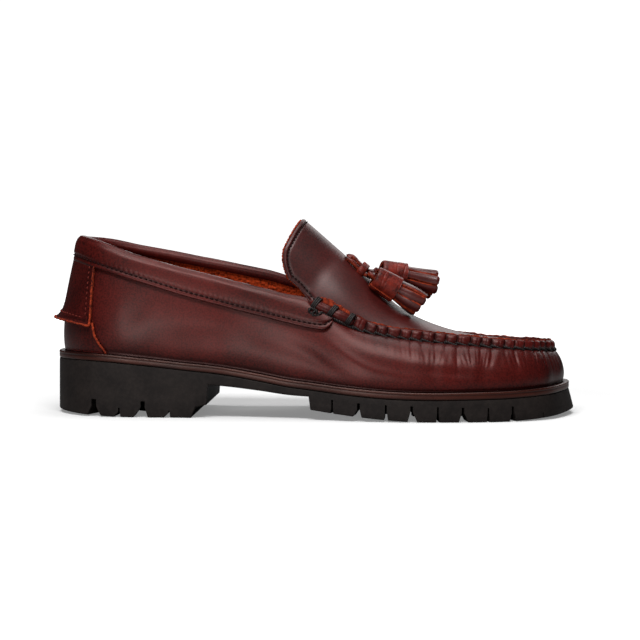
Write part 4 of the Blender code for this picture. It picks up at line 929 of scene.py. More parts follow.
def make_collar():
    """Padded roll over the top line with its stitched band outside, fading to the band alone."""
    end = float(angle_of(BAND_END))
    q = np.linspace(-end, end, 760)
    share = share_of(np.abs(q))
    drop = near_drop(q)
    closing = np.sqrt(1 - ramp(share, 0.513, BAND_END) ** 2 * 0.995)
    depth = COLLAR_TIP + (collar_depth(share) + 0.8 * drop - COLLAR_TIP) * closing
    roll = ease(ramp(share, THROAT, 0.482))
    around, offsets, heights = collar_profile(depth, drop, roll)
    q_grid = np.repeat(column(q), len(around), axis=1)
    grid = wall.at(q_grid, wall.t_below(q_grid, np.maximum(-heights, 0)), offsets, np.maximum(heights, 0))
    arc = column(np.cumsum(np.linalg.norm(np.gradient(grid[:, 30], axis=0), axis=1)))
    on_roll = bell(around, 0.58, 0.16) * column(roll)
    wrinkle = 0.00007 * np.sin(around * 75 + 3 * np.sin(arc * 60) + 2 * np.sin(arc * 31))
    wrinkle = wrinkle + 0.00005 * np.sin(around * 140 + 4 * np.sin(arc * 90 + 1))
    above_foot = heights + column(depth)
    outside = around < 0.4
    puff = 0.00012 * np.abs(np.sin(np.pi * arc / STITCH_PITCH)) * bell(above_foot, 0.0040, 0.0011)
    normal = unit(np.cross(np.gradient(grid, axis=1), np.gradient(grid, axis=0)))
    grid = grid + normal * (wrinkle * on_roll + puff * outside)[..., None]
    rows, columns = grid.shape[:2]
    faces = grid_faces(rows, columns, close_columns=True).tolist()
    faces += [list(range(columns))[::-1], list(range((rows - 1) * columns, rows * columns))]
    rear = column(share[:-1])
    raw = (np.arange(columns) <= np.where(rear < 0.20, 4, 2)) & (rear < 0.44)
    # Painted shade on the stitch line, at the band's foot, in the wrinkles and toward the front and heel
    shade = 0.75 * bell(above_foot, COLLAR_STITCH, 0.0006) * outside + 0.5 * (above_foot < 0.0002)
    shade = shade + 0.35 * np.clip(-wrinkle / 0.0001, 0, 1) * on_roll
    shade = shade + column(0.28 * ease(ramp(share, 0.26, 0.42)) + 0.25 * ease(ramp(share, 0.14, 0.03)))
    collar = add_piece("collar_roll", grid, faces, [COLLAR_LEATHER, RAW_EDGE], [*raw.ravel(), 0, 0], shade,
                       replaces=["collar"])
    t = wall.t_below(q, depth - COLLAR_STITCH)
    points, faces = stitches(wall.at(q, t, 0.0022), unit(wall.read(wall.normals, q, t)))
    add_piece("collar_stitches", points, faces, [STITCH_THREAD])


# Back of the heel


def make_tab(name, q_edges, t_low, t_high, stand, thick, replaces, stitch_inset=1):
    """Leather piece on the back of the heel between lower and upper edges, with raw edges."""
    u, v = np.meshgrid(np.linspace(-1, 1, 60), np.linspace(0, 1, 46), indexing="ij")
    q = u * q_edges(v)
    t = t_low(u) * (1 - v) + t_high(q) * v
    lift = SKIN_GAP + stand(u, v)
    outer = wall.at(q, t, lift + thick)
    points, faces, slots = shell(outer, wall.at(q, t, lift))
    borders = (outer[:1], outer[-1:], outer[:, :1])
    distance = np.min([np.linalg.norm(outer - border, axis=2) for border in borders], axis=0)
    shade = (0.5 * bell(distance, stitch_inset, 0.0006) + 0.35).ravel()
    add_piece(name, points, faces, [LEATHER, RAW_EDGE, RAW_EDGE], slots, np.append(shade, 0 * shade + 0.3),
              replaces=replaces)
    return outer


def make_heel():
    """Tab with its flared lip and stitches, and the counter under it."""
    def tab_foot(u):
        return TAB_FOOT - TAB_FOOT_DROP * u ** 2

    def tab_head(q):
        return wall.t_below(q, collar_depth(share_of(np.abs(q))) + 0.0001)

    def flare(u, v):
        reach = LIP_FLARE * (1 - 0.70 * u ** 2) * np.exp(-v / 0.11)
        return reach + 0.0003 * np.sin(u * 9) * np.exp(-v / 0.06)

    def counter_edge(v):
        reach = [float(angle_of(edge)) for edge in COUNTER_EDGES]
        return np.interp(COUNTER_FOOT + (TAB_FOOT + 0.02) * v, COUNTER_HEIGHTS, reach)

    def level(height):
        return lambda place: height + 0 * place

    tab = make_tab("heel_tab", level(float(angle_of(TAB_EDGE))), tab_foot, tab_head, flare, 0.0016,
                   ["backstay"], stitch_inset=0.0026)
    normals = -grid_normals(tab)
    normals *= np.sign(normals[30, 20] @ np.array([-1.0, 0, 0]))
    lines = (np.s_[2, 5:], np.s_[-3, 5:], np.s_[3:-3, 5])
    points, faces = joined([stitches(tab[line], normals[line]) for line in lines])
    add_piece("heel_tab_stitches", points, faces, [TAB_THREAD])
    make_rims("heel_tab_rims", (tab[:, 0], tab[0], tab[-1]), (0.00062, 0.00055, 0.00055))
    counter = make_tab("heel_counter_piece", counter_edge, level(COUNTER_FOOT), level(TAB_FOOT + 0.012),
                       lambda u, v: 0 * u, 0.0009, ["heel_counter"])
    make_rims("heel_counter_rims", (counter[0, :-4], counter[-1, :-4]), (0.00065, 0.00065))


def worn(points, middle, amount, scale, seed, most=0.85):
    """Uneven shade of a raw edge."""
    return np.clip(middle + amount * wave_noise(points, scale, seed), 0, most)


def make_rims(name, edges, sizes):
    """Rough raw edges along the borders of a leather piece."""
    step = np.arange(120)
    sway = column(0.00010 * np.sin(step * 0.9 + 2 * np.sin(step * 0.23)))
    swell = 1 + 0.18 * np.sin(step * 0.37) * np.sin(step * 0.11)
    tubes = [tube(smooth_path(edge, len(step)) + sway, size * swell) for edge, size in zip(edges, sizes)]
    points, faces = joined(tubes)
    add_piece(name, points, faces, [RAW_EDGE], shade=worn(points, 0.30, 0.45, 260, 91))


# Raised seam

# Section of a pleat: outward and upward, in millimetres, upward as a share of the seam's height
# where the third value is one, and how much the pleat's swelling moves it
PLEAT_SECTION = (
    (0.5, -1.6, 0, 0.2), (1.2, -0.6, 0, 0.6), (1.7, 0.15, 1, 1.0), (1.9, 0.38, 1, 1.0),
    (1.7, 0.60, 1, 0.9), (1.2, 0.80, 1, 0.6), (0.5, 0.90, 1, 0.2), (-0.3, 0.90, 1, 0.0),
    (-0.9, 0.80, 1, 0.0), (-1.3, 0.45, 1, 0.0), (-1.2, 0.05, 1, 0.0),
)
# Section of the apron's raw edge, outward and upward in millimetres
RIM_SECTION = ((0.05, -1.2), (0.05, 0.1), (-0.13, 0.32), (-0.67, 0.32), (-0.85, 0.1), (-0.85, -0.4))
# Section of the leather behind it: outward in millimetres, share of the height, extra rise, painted shade
FLANK_SECTION = (
    (-0.85, 0.96, -0.2, 0.5), (-1.1, 0.86, -0.4, 0.3), (-1.4, 0.62, 0.0, 0.2), (-2.0, 0.38, 0.0, 0.2),
    (-3.0, 0.20, 0.0, 0.1), (-4.5, 0.06, 0.0, 0.0), (-6.5, -0.10, 0.0, 0.0),
)
SEAM_START = 3.85


def make_seam():
    """Row of puckers round the apron, the apron's raw edge behind them, and the sewing cord."""
    place = np.linspace(SEAM_START, seam.count - SEAM_START, int((seam.count - 2 * SEAM_START) * 22))
    line = seam.frame(place)
    height = SEAM_HEIGHT * SEAM("height", seam.share(place))
    pleat = np.floor(uneven(place))
    own = np.random.default_rng(5).normal(size=(seam.count + 3, 4))[pleat.astype(int)]
    wave = pucker_wave(place)
    phase = uneven(place) - pleat
    inner_fold = bell(phase, 0.5 + 0.12 * own[:, 3], 0.06) * (own[:, 0] > -0.2)
    swell = 0.0016 * (wave - 0.72) + 0.00025 * own[:, 0] * wave - 0.00022 * inner_fold
    swell = swell + 0.0006 * (phase - 0.5) * (1 + 0.5 * own[:, 1]) * wave
    section = []
    for out, rise, relative, move in PLEAT_SECTION:
        rise = height * rise if relative else np.full(len(place), rise * MM)
        dip = relative * 0.0006 * (wave - 1) * (0.5 + 0.5 * move)
        lean = relative * 0.0011 * (rise / height - 0.4) * (0.6 + 0.3 * own[:, 2])
        section.append(beside(line, out * MM + move * swell, rise + dip) + line[1] * column(lean))
    knots = np.arange(len(section), dtype=float)
    fine = np.linspace(0, knots[-1], 24)
    grid = smooth_curve(knots, np.array(section), fine).transpose(1, 0, 2)
    grid = grid + line[2][:, None] * (0.00018 * wave_noise(grid, 1100, 21, 2))[..., None]
    # Painted shade in the grooves between puckers, in the inner folds and at the foot; own tone at random
    shade = np.maximum(1.3 * (1 - wave) ** 1.2 + 0.2 * inner_fold + 0.12 * own[:, 1], 0)
    low = np.clip(1 - fine / 2.2, 0, 1)
    add_grid("seam_pleats", grid, [LEATHER], shade=column(shade) + 0.6 * low, replaces=["apron_seam"])
    make_seam_edge(place, line, height, wave)
    make_seam_cord()


def make_seam_edge(place, line, height, wave):
    """Apron's leather turned up behind the puckers, with its thin raw edge on top."""
    wobble = 0.00020 * np.sin(place * 2.3) + 0.00012 * np.sin(place * 9.1)
    base = height * 0.96 + wobble - 0.0004 * (1 - wave)
    rim = np.array([beside(line, out * MM, base + rise * MM) for out, rise in RIM_SECTION])
    add_grid("seam_raw_edge", rim, [RAW_EDGE], shade=worn(rim, 0.38, 0.4, 240, 92))
    flank = np.array([beside(line, out * MM, height * part + rise * MM + wobble * ramp(part, 0.3, 0.9))
                      for out, part, rise, _ in FLANK_SECTION])
    add_grid("seam_flank", flank, [LEATHER], shade=np.repeat([row[3] for row in FLANK_SECTION], len(place)))


def cord_run(path, radius, twist=0.0032, plies=2, sides=6):
    """Twisted cord: its plies wound round the path."""
    tangent = unit(np.gradient(path, axis=0))
    side = unit(np.cross(tangent, UP + np.array([0.01, 0.02, 0])))
    other = np.cross(tangent, side)
    parts = []
    for ply in range(plies):
        turn = 2 * np.pi * (arc_lengths(path) / twist + ply / plies)
        offset = side * column(np.cos(turn)) + other * column(np.sin(turn))
        parts.append(tube(path + offset * radius * 0.55, radius * 0.66, sides))
    return joined(parts)


def make_seam_cord():
    """Dark cord along the foot of the puckers, one slanting stitch to each."""
    parts = []
    turn = np.linspace(0, np.pi, 17)
    out = 0.0011 + 0.0012 * np.sin(0.12 + turn * 0.92)
    for k in range(3, seam.count - 3):
        line = seam.frame(k + np.linspace(-0.16, 1.06, 17))
        toward = 1 if k < seam.count / 2 else -1
        thick = CORD_RADIUS * (1.15 if k % 3 == 0 else 0.95)
        parts.append(cord_run(beside(line, out, 0.0001 + 0.0008 * np.cos(turn) * toward), thick))
    points, faces = joined(parts)
    add_piece("seam_cord", points, faces, [SEAM_THREAD], slot="thong")


# Rolled quarter end at the throat: place in puckers, height over the seam and radius in millimetres
THROAT_ROLL = Table("at rise radius", (
    (-0.30, -0.4, 1.2), (0.00, -0.2, 2.7), (0.40, 0.3, 3.4), (1.00, 0.9, 3.35), (1.45, 1.4, 3.3),
    (1.90, 1.8, 2.9),
    (2.40, 2.3, 3.25), (3.00, 2.7, 3.2), (3.50, 2.7, 2.7), (3.80, 2.4, 1.8), (3.95, 2.2, 0.5),
))
BAND_PLACES = (0.25, 1.80, 3.45)
ROLL_OUT = 0.0006
ROLL_ENDS = (-0.30, 3.95)
WHIP_LIFT = 0.00045
WHIP_RADIUS = 0.00060
# Raw edges over the roll, in millimetres: outward, foot and top of the dome, then the fraying's phase
THROAT_EDGES = ((-1.1, 4.0, 7.8, 0.0), (-2.5, 4.0, 6.6, 1.4))


def throat_frame(side, at):
    """Frame of the seam counted from the near or the far end of the throat."""
    at = np.asarray(at, dtype=float)
    place = at if side < 0 else seam.count - at
    point, tangent, outward, up = seam.frame(np.clip(place, 0, seam.count))
    forward = tangent if side < 0 else -tangent
    return point + forward * (np.minimum(at, 0) * PUCKER_PITCH)[:, None], forward, outward, up


def make_throat():
    """Rolled end of the quarter at each side of the throat, whipped to the apron with flat cord."""
    for side, name in ((-1, "near"), (1, "far")):
        at = np.linspace(*ROLL_ENDS, 90)
        path = beside(throat_frame(side, at), ROLL_OUT, THROAT_ROLL("rise", at) * MM)
        points, faces = tube(path, THROAT_ROLL("radius", at) * MM, 28)
        swell = 0.00012 * wave_noise(points, 900, 71)
        points = points + unit(points - np.repeat(path, 28, axis=0)) * column(swell)
        add_piece("throat_roll_" + name, points, faces, [COLLAR_LEATHER],
                  shade=0.25 + 0.3 * np.clip(wave_noise(points, 500, 72), 0, 1))
        make_throat_edges(side, name)
        make_whipping(side, name)


def make_throat_edges(side, name):
    """Two frayed raw edges that stand over the roll."""
    parts = []
    at = np.linspace(0.30, 3.75, 150)
    line = throat_frame(side, at)
    dome = np.sin(np.linspace(0.45, np.pi - 0.25, 150)) ** 0.6
    dome = dome - 0.22 * sum(bell(at, middle, 0.20) for middle in BAND_PLACES)
    for out, low, high, phase in THROAT_EDGES:
        fray = 0.22 * np.sin(at * 7 + phase) + 0.16 * np.sin(at * 31 + 2 * np.sin(at * 5))
        top = low + (high - low) * dome + fray
        middle = out + 0.3 * np.sin(at * 4.1 + phase)
        section = ((0.6, 1.0), (0.7, top - 0.5), (0.3, top), (-0.3, top), (-0.7, top - 0.5), (-0.6, 1.0))
        rows = np.array([beside(line, (middle + across) * MM, height * MM) for across, height in section])
        parts.append((rows.reshape(-1, 3), grid_faces(len(rows), len(at)).tolist()))
    points, faces = joined(parts)
    add_piece("throat_edges_" + name, points, faces, [RAW_EDGE], shade=worn(points, 0.25, 0.5, 700, 93, 0.9))


def make_whipping(side, name):
    """Three flat turns of cord over the roll, the knot below the first and the run to the seam."""
    parts = []
    turn = np.linspace(-0.85, 3.3, 40)
    for middle in BAND_PLACES:
        radius = float(THROAT_ROLL("radius", middle)) * MM + WHIP_LIFT
        stretch = 1 + 0.35 * ramp(np.sin(turn), 0.0, 1.0)
        height = float(THROAT_ROLL("rise", middle)) * MM + radius * np.sin(turn) * stretch
        for strand in (-1, 0, 1):
            line = throat_frame(side, middle + 0.145 * strand + 0.10 * np.sin(turn - 0.8))
            normal = unit(line[2] * column(np.cos(turn)) + line[3] * column(np.sin(turn)))
            path = beside(line, ROLL_OUT + radius * np.cos(turn), height)
            parts.append(tube(path, WHIP_RADIUS, 8, flat=0.8, normal=normal))
    coil, spread = np.linspace(0, 5 * np.pi, 70), np.linspace(0.0, 1.25, 70)
    loop = np.linspace(0, 2 * np.pi, 40)
    run = np.linspace(0.9, 4.2, 60)
    cords = (
        (spread, 5.4 + 0.9 * np.cos(coil) - 0.6 * spread, -3.4 + 1.3 * np.sin(coil) + 1.0 * spread, 0.80),
        (0.45 + 0.42 * np.sin(loop), 5.9 + 0.3 * np.sin(3 * loop), -3.1 + 1.6 * np.cos(loop), 0.70),
        (run, 3.0 - 1.2 * ease(ramp(run, 2.5, 4.2)), -1.0 + 1.0 * ease(ramp(run, 0.9, 4.2)), 0.85),
    )
    for at, out, rise, thick in cords:
        parts.append(cord_run(beside(throat_frame(side, at), out * MM, rise * MM), thick * MM))
    points, faces = joined(parts)
    add_piece("throat_whipping_" + name, points, faces, [SEAM_THREAD], slot="thong")


# Tassels: places near the solids', down the apron's crest, across to the outer side, out

THONG_FAR = (
    (0.0003, 0.0054, 0.0004), (0.0014, 0.0048, 0.0022), (0.0064, 0.0056, 0.0025),
    (0.0112, 0.0056, 0.0026), (0.0148, 0.0046, 0.0032), (0.0180, 0.0014, 0.0052),
)
THONG_NEAR = (
    (0.0006, 0.0080, 0.0004), (0.0032, 0.0091, 0.0014), (0.0072, 0.0096, 0.0014),
    (0.0107, 0.0097, 0.0014), (0.0142, 0.0110, 0.0020), (0.0164, 0.0130, 0.0036),
)
CAP_NEAR = ((0.0179, 0.0150, 0.0064), (0.0327, 0.0138, 0.0088))
CAP_FAR = ((0.0197, -0.0010, 0.0076), (0.0319, -0.0032, 0.0152))
TASSELS = (("far", THONG_FAR, CAP_FAR, 0.0190), ("near", THONG_NEAR, CAP_NEAR, 0.0160))
HOLE_AT = (0.0002, 0.0062, 0.0001)
HOLE_REACH = 0.0034
HOLE_OPENING = 0.0010
STRAP_WIDTH = 0.0042
STRAP_THICKNESS = 0.0022
CAP_RADIUS_TOP = 0.0062
CAP_RADIUS_END = 0.0074
CAP_WALL = 0.0013
CAP_SPIN = {"near": 4.6, "far": 2.2}
# Creases across a cap: share along, depth in millimetres, phase
CAP_CREASES = ((0.30, 0.22, 0.2), (0.46, 0.30, 1.3), (0.58, 0.20, 2.0), (0.86, 0.30, 2.8))
# Keeper: how far it passes the thongs' middles, half its opening, and its section along and
# outward in millimetres
KEEPER_SPARE = 0.0026
KEEPER_HALF = 0.0022
KEEPER_SECTION = ((-2.2, -0.4), (-2.2, 0.50), (-1.7, 0.85), (1.7, 0.85), (2.2, 0.50), (2.2, -0.4))
# Layers of a fringe: strips, radius at the root, splay, width of a strip
FRINGE_LAYERS = ((7, 0.0052, 0.0024, 0.0056), (6, 0.0034, 0.0014, 0.0044), (4, 0.0016, 0.0006, 0.0034))
FRINGE_ROOT = 0.003
FRINGE_SEED = {"near": 41, "far": 57}
STRIP_THICKNESS = 0.00078


class ApronPlaces:
    """Places over the apron by distance down its crest, across and out."""

    def __init__(self):
        angle = np.linspace(THROAT_ANGLE, np.pi - 0.02, 240)
        self.grid = apron_points(angle, np.linspace(-1, 1, 121))
        crest = self.grid[:, 60]
        self.lengths = arc_lengths(crest)

    def __call__(self, down, across, out):
        row = np.interp(down, self.lengths, range(len(self.lengths)))
        low = min(int(row), len(self.grid) - 2)
        line = self.grid[low] * (low + 1 - row) + self.grid[low + 1] * (row - low)
        slope = unit(self.grid[low + 1] - self.grid[low])
        y = line[60, 1] - across

        def read(values, at):
            return np.array([np.interp(at, line[:, 1], values[:, axis]) for axis in range(3)])

        side = read(line, y + 0.003) - read(line, y - 0.003)
        normal = unit(np.cross(unit(read(slope, y)), unit(side)))
        return read(line, y) + normal * out, normal


apron_place = ApronPlaces()


def strap(path, normals, half, deep, shoulder, edge):
    """Six lines along a flat strap: grain side out, raw edges at its sides."""
    tangent = unit(np.gradient(path, axis=0))
    across = unit(np.cross(tangent, normals))
    out = unit(np.cross(across, tangent))
    section = ((-1, -1), (-1, edge), (-shoulder, 1), (shoulder, 1), (1, edge), (1, -1))
    return np.array([path + across * column(a * half) + out * (d * deep) for a, d in section])


def strap_faces(count, side_slots, ends):
    """Faces and slots of a strap's six sides, closed at its root, its tip or both."""
    closing = {"root": list(range(0, 6 * count, count)), "tip": list(range(6 * count - 1, 0, -count))}
    faces = grid_faces(6, count, close_rows=True).tolist() + [closing[end] for end in ends]
    return faces, [*np.repeat(side_slots, count - 1), *(1 for _ in ends)]


def make_tassels():
    """Thong, keeper, rolled caps and cut fringes."""
    centres = []
    for name, table, cap, length in TASSELS:
        start, end = (apron_place(*point)[0] for point in cap)
        axis = unit(end - start)
        placed = [np.concatenate(apron_place(*point)) for point in table]
        centres.append([row[:3] for row in placed])
        flat = placed[-1][3:]
        tail = [np.append(start - axis * 0.002, flat), np.append(start + axis * 0.001, flat)]
        read = smooth_path(placed + tail, 60)
        points = strap(read[:, :3], unit(read[:, 3:]), STRAP_WIDTH / 2, STRAP_THICKNESS / 2, 0.85, 0.5)
        faces, slots = strap_faces(60, (1, 0, 0, 0, 1, 0), ("root", "tip"))
        shade = 0.35 + 0.3 * np.clip(wave_noise(points, 900, 81), 0, 1)
        add_piece("thong_" + name, points, faces, [STRAP_LEATHER, RAW_EDGE], slots, shade,
                  replaces=["tassel_thong_" + name], slot="thong")
        make_cap(name, start, end)
        make_fringe(name, start, end, length)
    make_keeper(*centres)
    # Near-black disc where the thong goes in: painted shadow of the hole
    centre, normal = apron_place(*HOLE_AT)
    turn = np.linspace(0, 2 * np.pi, 24, endpoint=False)
    side = unit(np.cross(normal, UP))
    rim = side * column(HOLE_REACH * np.cos(turn))
    rim = rim + np.cross(normal, side) * column(HOLE_OPENING * np.sin(turn))
    add_piece("thong_hole_shadow", centre + rim, [list(range(24))], [HOLE], slot="thong")


def make_keeper(far, near):
    """Band that gathers the two thongs at their fourth places."""
    axis = unit(far[4] + near[4] - (far[2] + near[2]))
    apart = near[3] - far[3]
    side = unit(apart - axis * (apart @ axis))
    out = np.cross(axis, side)
    turn = np.linspace(0, 2 * np.pi, 49)[:-1]
    wide, thin = np.linalg.norm(apart) / 2 + KEEPER_SPARE, KEEPER_HALF
    c, s = np.cos(turn), np.sin(turn)
    across, over = (np.sign(values) * np.abs(values) ** 0.6 for values in (c, s))
    ring = side * column(wide * across) + out * column(thin * over)
    away = unit(side * column(thin * c) + out * column(wide * s))
    centre = (far[3] + near[3]) / 2
    rows = np.array([centre + ring + axis * along * MM + away * lift * MM for along, lift in KEEPER_SECTION])
    add_grid("thong_keeper", rows, [STRAP_LEATHER, RAW_EDGE], close_rows=True, close_columns=True,
             slots=np.repeat([1, 0, 0, 0, 1, 1], len(turn)), shade=np.zeros(len(rows) * len(turn)),
             replaces=["tassel_keeper"], slot="thong")


def tassel_frame(start, end):
    axis = unit(end - start)
    side = unit(np.cross(axis, UP))
    return axis, side, np.cross(side, axis)


def make_cap(name, start, end):
    """Cap rolled from a strip, two layers seen at its end, creased across."""
    axis, side, top = tassel_frame(start, end)
    turn, share = np.meshgrid(np.linspace(0, 2 * np.pi * 1.12, 96), np.linspace(0, 1, 44), indexing="ij")
    radius = CAP_RADIUS_TOP + (CAP_RADIUS_END - CAP_RADIUS_TOP) * share - 0.0002 + 0.0009 * turn / (2 * np.pi)
    radius = radius - 0.0006 * np.exp(-share / 0.035)
    for at, deep, phase in CAP_CREASES:
        bend = at + 0.05 * np.sin(turn * 2 + phase)
        radius = radius - deep * MM * bell(share, bend, 0.018) * (0.4 + 0.6 * np.sin(turn + phase))
    centre = start + axis * (share * np.linalg.norm(end - start))[..., None]
    spin = turn + CAP_SPIN[name]
    away = side * np.cos(spin)[..., None] + top * np.sin(spin)[..., None]
    outer = centre + away * radius[..., None]
    points, faces, slots = shell(outer, centre + away * (radius - CAP_WALL)[..., None])
    shade = (0.25 * np.clip(wave_noise(outer, 500, 31), -1, 1) + 0.15).ravel()
    add_piece("cap_" + name, points, faces, [STRAP_LEATHER, RAW_EDGE, RAW_EDGE], slots,
              np.append(shade, 0 * shade + 0.3), replaces=["tassel_cap_" + name], slot="thong")
    ring = np.linspace(0, 2 * np.pi, 32, endpoint=False)
    disc = (side * column(np.cos(ring)) + top * column(np.sin(ring))) * (CAP_RADIUS_TOP - 0.0012)
    add_piece("cap_top_" + name, start + axis * 0.0012 + disc, [list(range(32))], [STRAP_LEATHER],
              shade=np.full(32, 0.6), slot="thong")


def make_fringe(name, start, end, length):
    """Cut strips that come out of the cap, bend out a little and end unevenly."""
    axis, side, top = tassel_frame(start, end)
    source = np.random.default_rng(FRINGE_SEED[name])
    s = np.linspace(0, 1, 26)
    tip = np.sqrt(np.clip(1 - ((s - 0.95) / 0.051).clip(0) ** 2, 0.30, 1))
    strip_faces, strip_slots = strap_faces(len(s), (1, 1, 0, 1, 1, 2), ("tip",))
    parts, shades = [], []
    for layer, (number, root, splay, width) in enumerate(FRINGE_LAYERS):
        for k in range(number):
            turn = 2 * np.pi * (k + 0.37 * layer + 0.12 * source.normal()) / number + 0.3
            reach = length * (1.0 - 0.05 * layer + 0.05 * source.uniform(-1, 1))
            out = side * math.cos(turn) + top * math.sin(turn)
            flare = splay * source.uniform(0.6, 1.35) * (0.35 + 0.65 * float(ramp(out @ top, -0.9, 0.0)))
            across = unit(np.cross(axis, out))
            curl = flare * s ** 1.3 + 0.0005 * np.sin(s * 5 + source.uniform(0, 6)) * s
            path = end + axis * column(-FRINGE_ROOT + (reach + FRINGE_ROOT) * s) + out * column(root + curl)
            path = path + across * column(0.0012 * source.normal() * s ** 2) - UP * column(0.0009 * s ** 2)
            spin = 0.35 * source.normal() * s
            normal = unit(out * column(np.cos(spin)) + across * column(np.sin(spin)))
            half = width / 2 * (0.76 + 0.24 * s) * (1 + 0.05 * np.sin(s * 9 + source.uniform(0, 6))) * tip
            parts.append((strap(path, normal, half, STRIP_THICKNESS, 0.86, 0.4).reshape(-1, 3), strip_faces))
            # Painted shade at the roots in the cap and on inner layers; a random tone per strip
            shades.append(np.tile(0.55 * np.exp(-s / 0.18) + 0.25 * source.uniform() + 0.12 * layer, 6))
    points, faces = joined(parts)
    add_piece("fringe_" + name, points, faces, [FRINGE_LEATHER, RAW_EDGE, RAW_EDGE], strip_slots * len(parts),
              np.concatenate(shades), replaces=["tassel_fringe_" + name], slot="thong")


# Sole


def outsole_top(share):
    return sole_top(share) - MIDSOLE_THICKNESS - GAP


def tread(share):
    """Underside of the heel and forefoot: flat where the shoe stands, rolled up beyond."""
    heel = HEEL_LIFT * ramp(share, HEEL_FLAT_START, 0) ** 1.5
    ball = BALL_LIFT * ramp(share, BALL_FLAT_START, BALL_REAR) ** 1.5
    toe = TOE_LIFT * ramp(share, BALL_FLAT_END, 1) ** 1.8
    return np.where(share < BREAST_END, heel, ball + toe)


def underside(share):
    """Underside of the outsole with the arch between heel breast and forefoot."""
    mix = ramp(share, WAIST_REAR, WAIST_FRONT)
    thickness = WAIST_REAR_THICKNESS + (WAIST_FRONT_THICKNESS - WAIST_REAR_THICKNESS) * mix
    waist = outsole_top(share) - thickness
    breast = np.interp(share, [step[0] for step in BREAST_STEPS], [step[1] * 0.001 for step in BREAST_STEPS])
    arch = np.where(share < BREAST_END - 0.0001, breast, waist)
    in_arch = (share > FEATURE_SHARES[0]) & (share < (WAIST_FRONT + BALL_REAR) / 2)
    return np.where(in_arch, arch, tread(share))


def toe_flare(shares):
    return TOE_FLARE * ramp(shares, 0.75, 1.0) ** 1.5


def sole_ring(shares, inset, height, shift=0.0):
    """Closed ring of points: outer side from heel to toe, inner side back again."""
    angle = np.maximum(angle_of(shares), 1e-6)
    lateral, medial = outline(-angle, inset), outline(angle, inset)
    low = np.column_stack([lateral, height])
    high = np.column_stack([medial[:, 0] + shift, medial[:, 1], height])
    return np.vstack([low, high[::-1]])


def solid_object(name, points, faces):
    """Closed mesh object with its faces pointing out, for cutting or for joining."""
    mesh = bpy.data.meshes.new(name)
    mesh.from_pydata(np.asarray(points).tolist(), [], [tuple(map(int, face)) for face in faces])
    work = bmesh.new()
    work.from_mesh(mesh)
    bmesh.ops.remove_doubles(work, verts=work.verts, dist=1e-7)
    bmesh.ops.recalc_face_normals(work, faces=work.faces)
    work.to_mesh(mesh)
    work.free()
    return linked(name, mesh)


def stack_faces(levels, count):
    """Faces of a stack of rings, capped by rungs from side to side."""
    faces = grid_faces(levels, count, close_columns=True).tolist()
    for start in (0, (levels - 1) * count):
        for i in range(count // 2 - 1):
            faces.append((start + i, start + i + 1, start + count - 2 - i, start + count - 1 - i))
    return faces


# How far the cutting shapes pass below the ground
GROUND_SPARE = 0.002


def groove_wedges():
    """Prisms that cut the edge grooves on both sides: narrow at the roof, wide at the ground."""
    parts = []
    for at, roof_share, width, rear, front in GROOVES:
        roof, half = LUG_HEIGHT * roof_share, width / 2
        middle = 0.62 * roof
        spread = 1 + GROUND_SPARE / middle
        profile = ((-half, roof), (half, roof), (half, middle), (half + front * spread, -GROUND_SPARE),
                   (-half - rear * spread, -GROUND_SPARE), (-half, middle))
        for sign in (-1, 1):
            angle = sign * angle_of(np.array([at - 0.004, at, at + 0.004]))
            edge = outline(angle, 0.0)
            along = unit(edge[2] - edge[0])
            inward = np.array([along[1], -along[0]]) * sign
            points = []
            for reach in (-0.006, GROOVE_REACH):
                for across, z in profile:
                    plan = edge[1] + inward * reach + along * across * 0.001
                    points.append((plan[0], plan[1], z))
            faces = [tuple(range(6)), tuple(range(6, 12))]
            faces += [(k, (k + 1) % 6, (k + 1) % 6 + 6, k + 6) for k in range(6)]
            parts.append((np.array(points), faces))
    return joined(parts)


def recess_blocks():
    parts = []
    for first, last, roof_share in RECESSES:
        shares = np.linspace(first, last, 40)
        low = sole_ring(shares, LUG_RING, np.full(40, -GROUND_SPARE))
        high = sole_ring(shares, LUG_RING, np.full(40, LUG_HEIGHT * roof_share))
        parts.append((np.vstack([low, high]), stack_faces(2, 80)))
    return joined(parts)


def centre_lug_stars():
    parts = []
    for at, across in CENTRE_LUGS:
        foot = float(tread(np.array([at]))[0])
        turn = np.arange(8) * np.pi / 4
        reach = np.where(np.arange(8) % 2 == 0, 1.0, 0.62)[:, None] * CENTRE_LUG_RADIUS
        star = np.column_stack([np.cos(turn), np.sin(turn)])
        centre = np.array([float(x_at(at)), BALL_WIDTH / 2 * across])
        rings = []
        for z, size in ((foot, 0.90), (foot + 0.0008, 1.0), (float(outsole_top(at)) - 0.002, 1.0)):
            rings.append(np.column_stack([centre + star * reach * size, np.full(8, z)]))
        faces = grid_faces(3, 8, close_columns=True).tolist() + [tuple(range(8)), tuple(range(16, 24))]
        parts.append((np.vstack(rings), faces))
    return joined(parts)


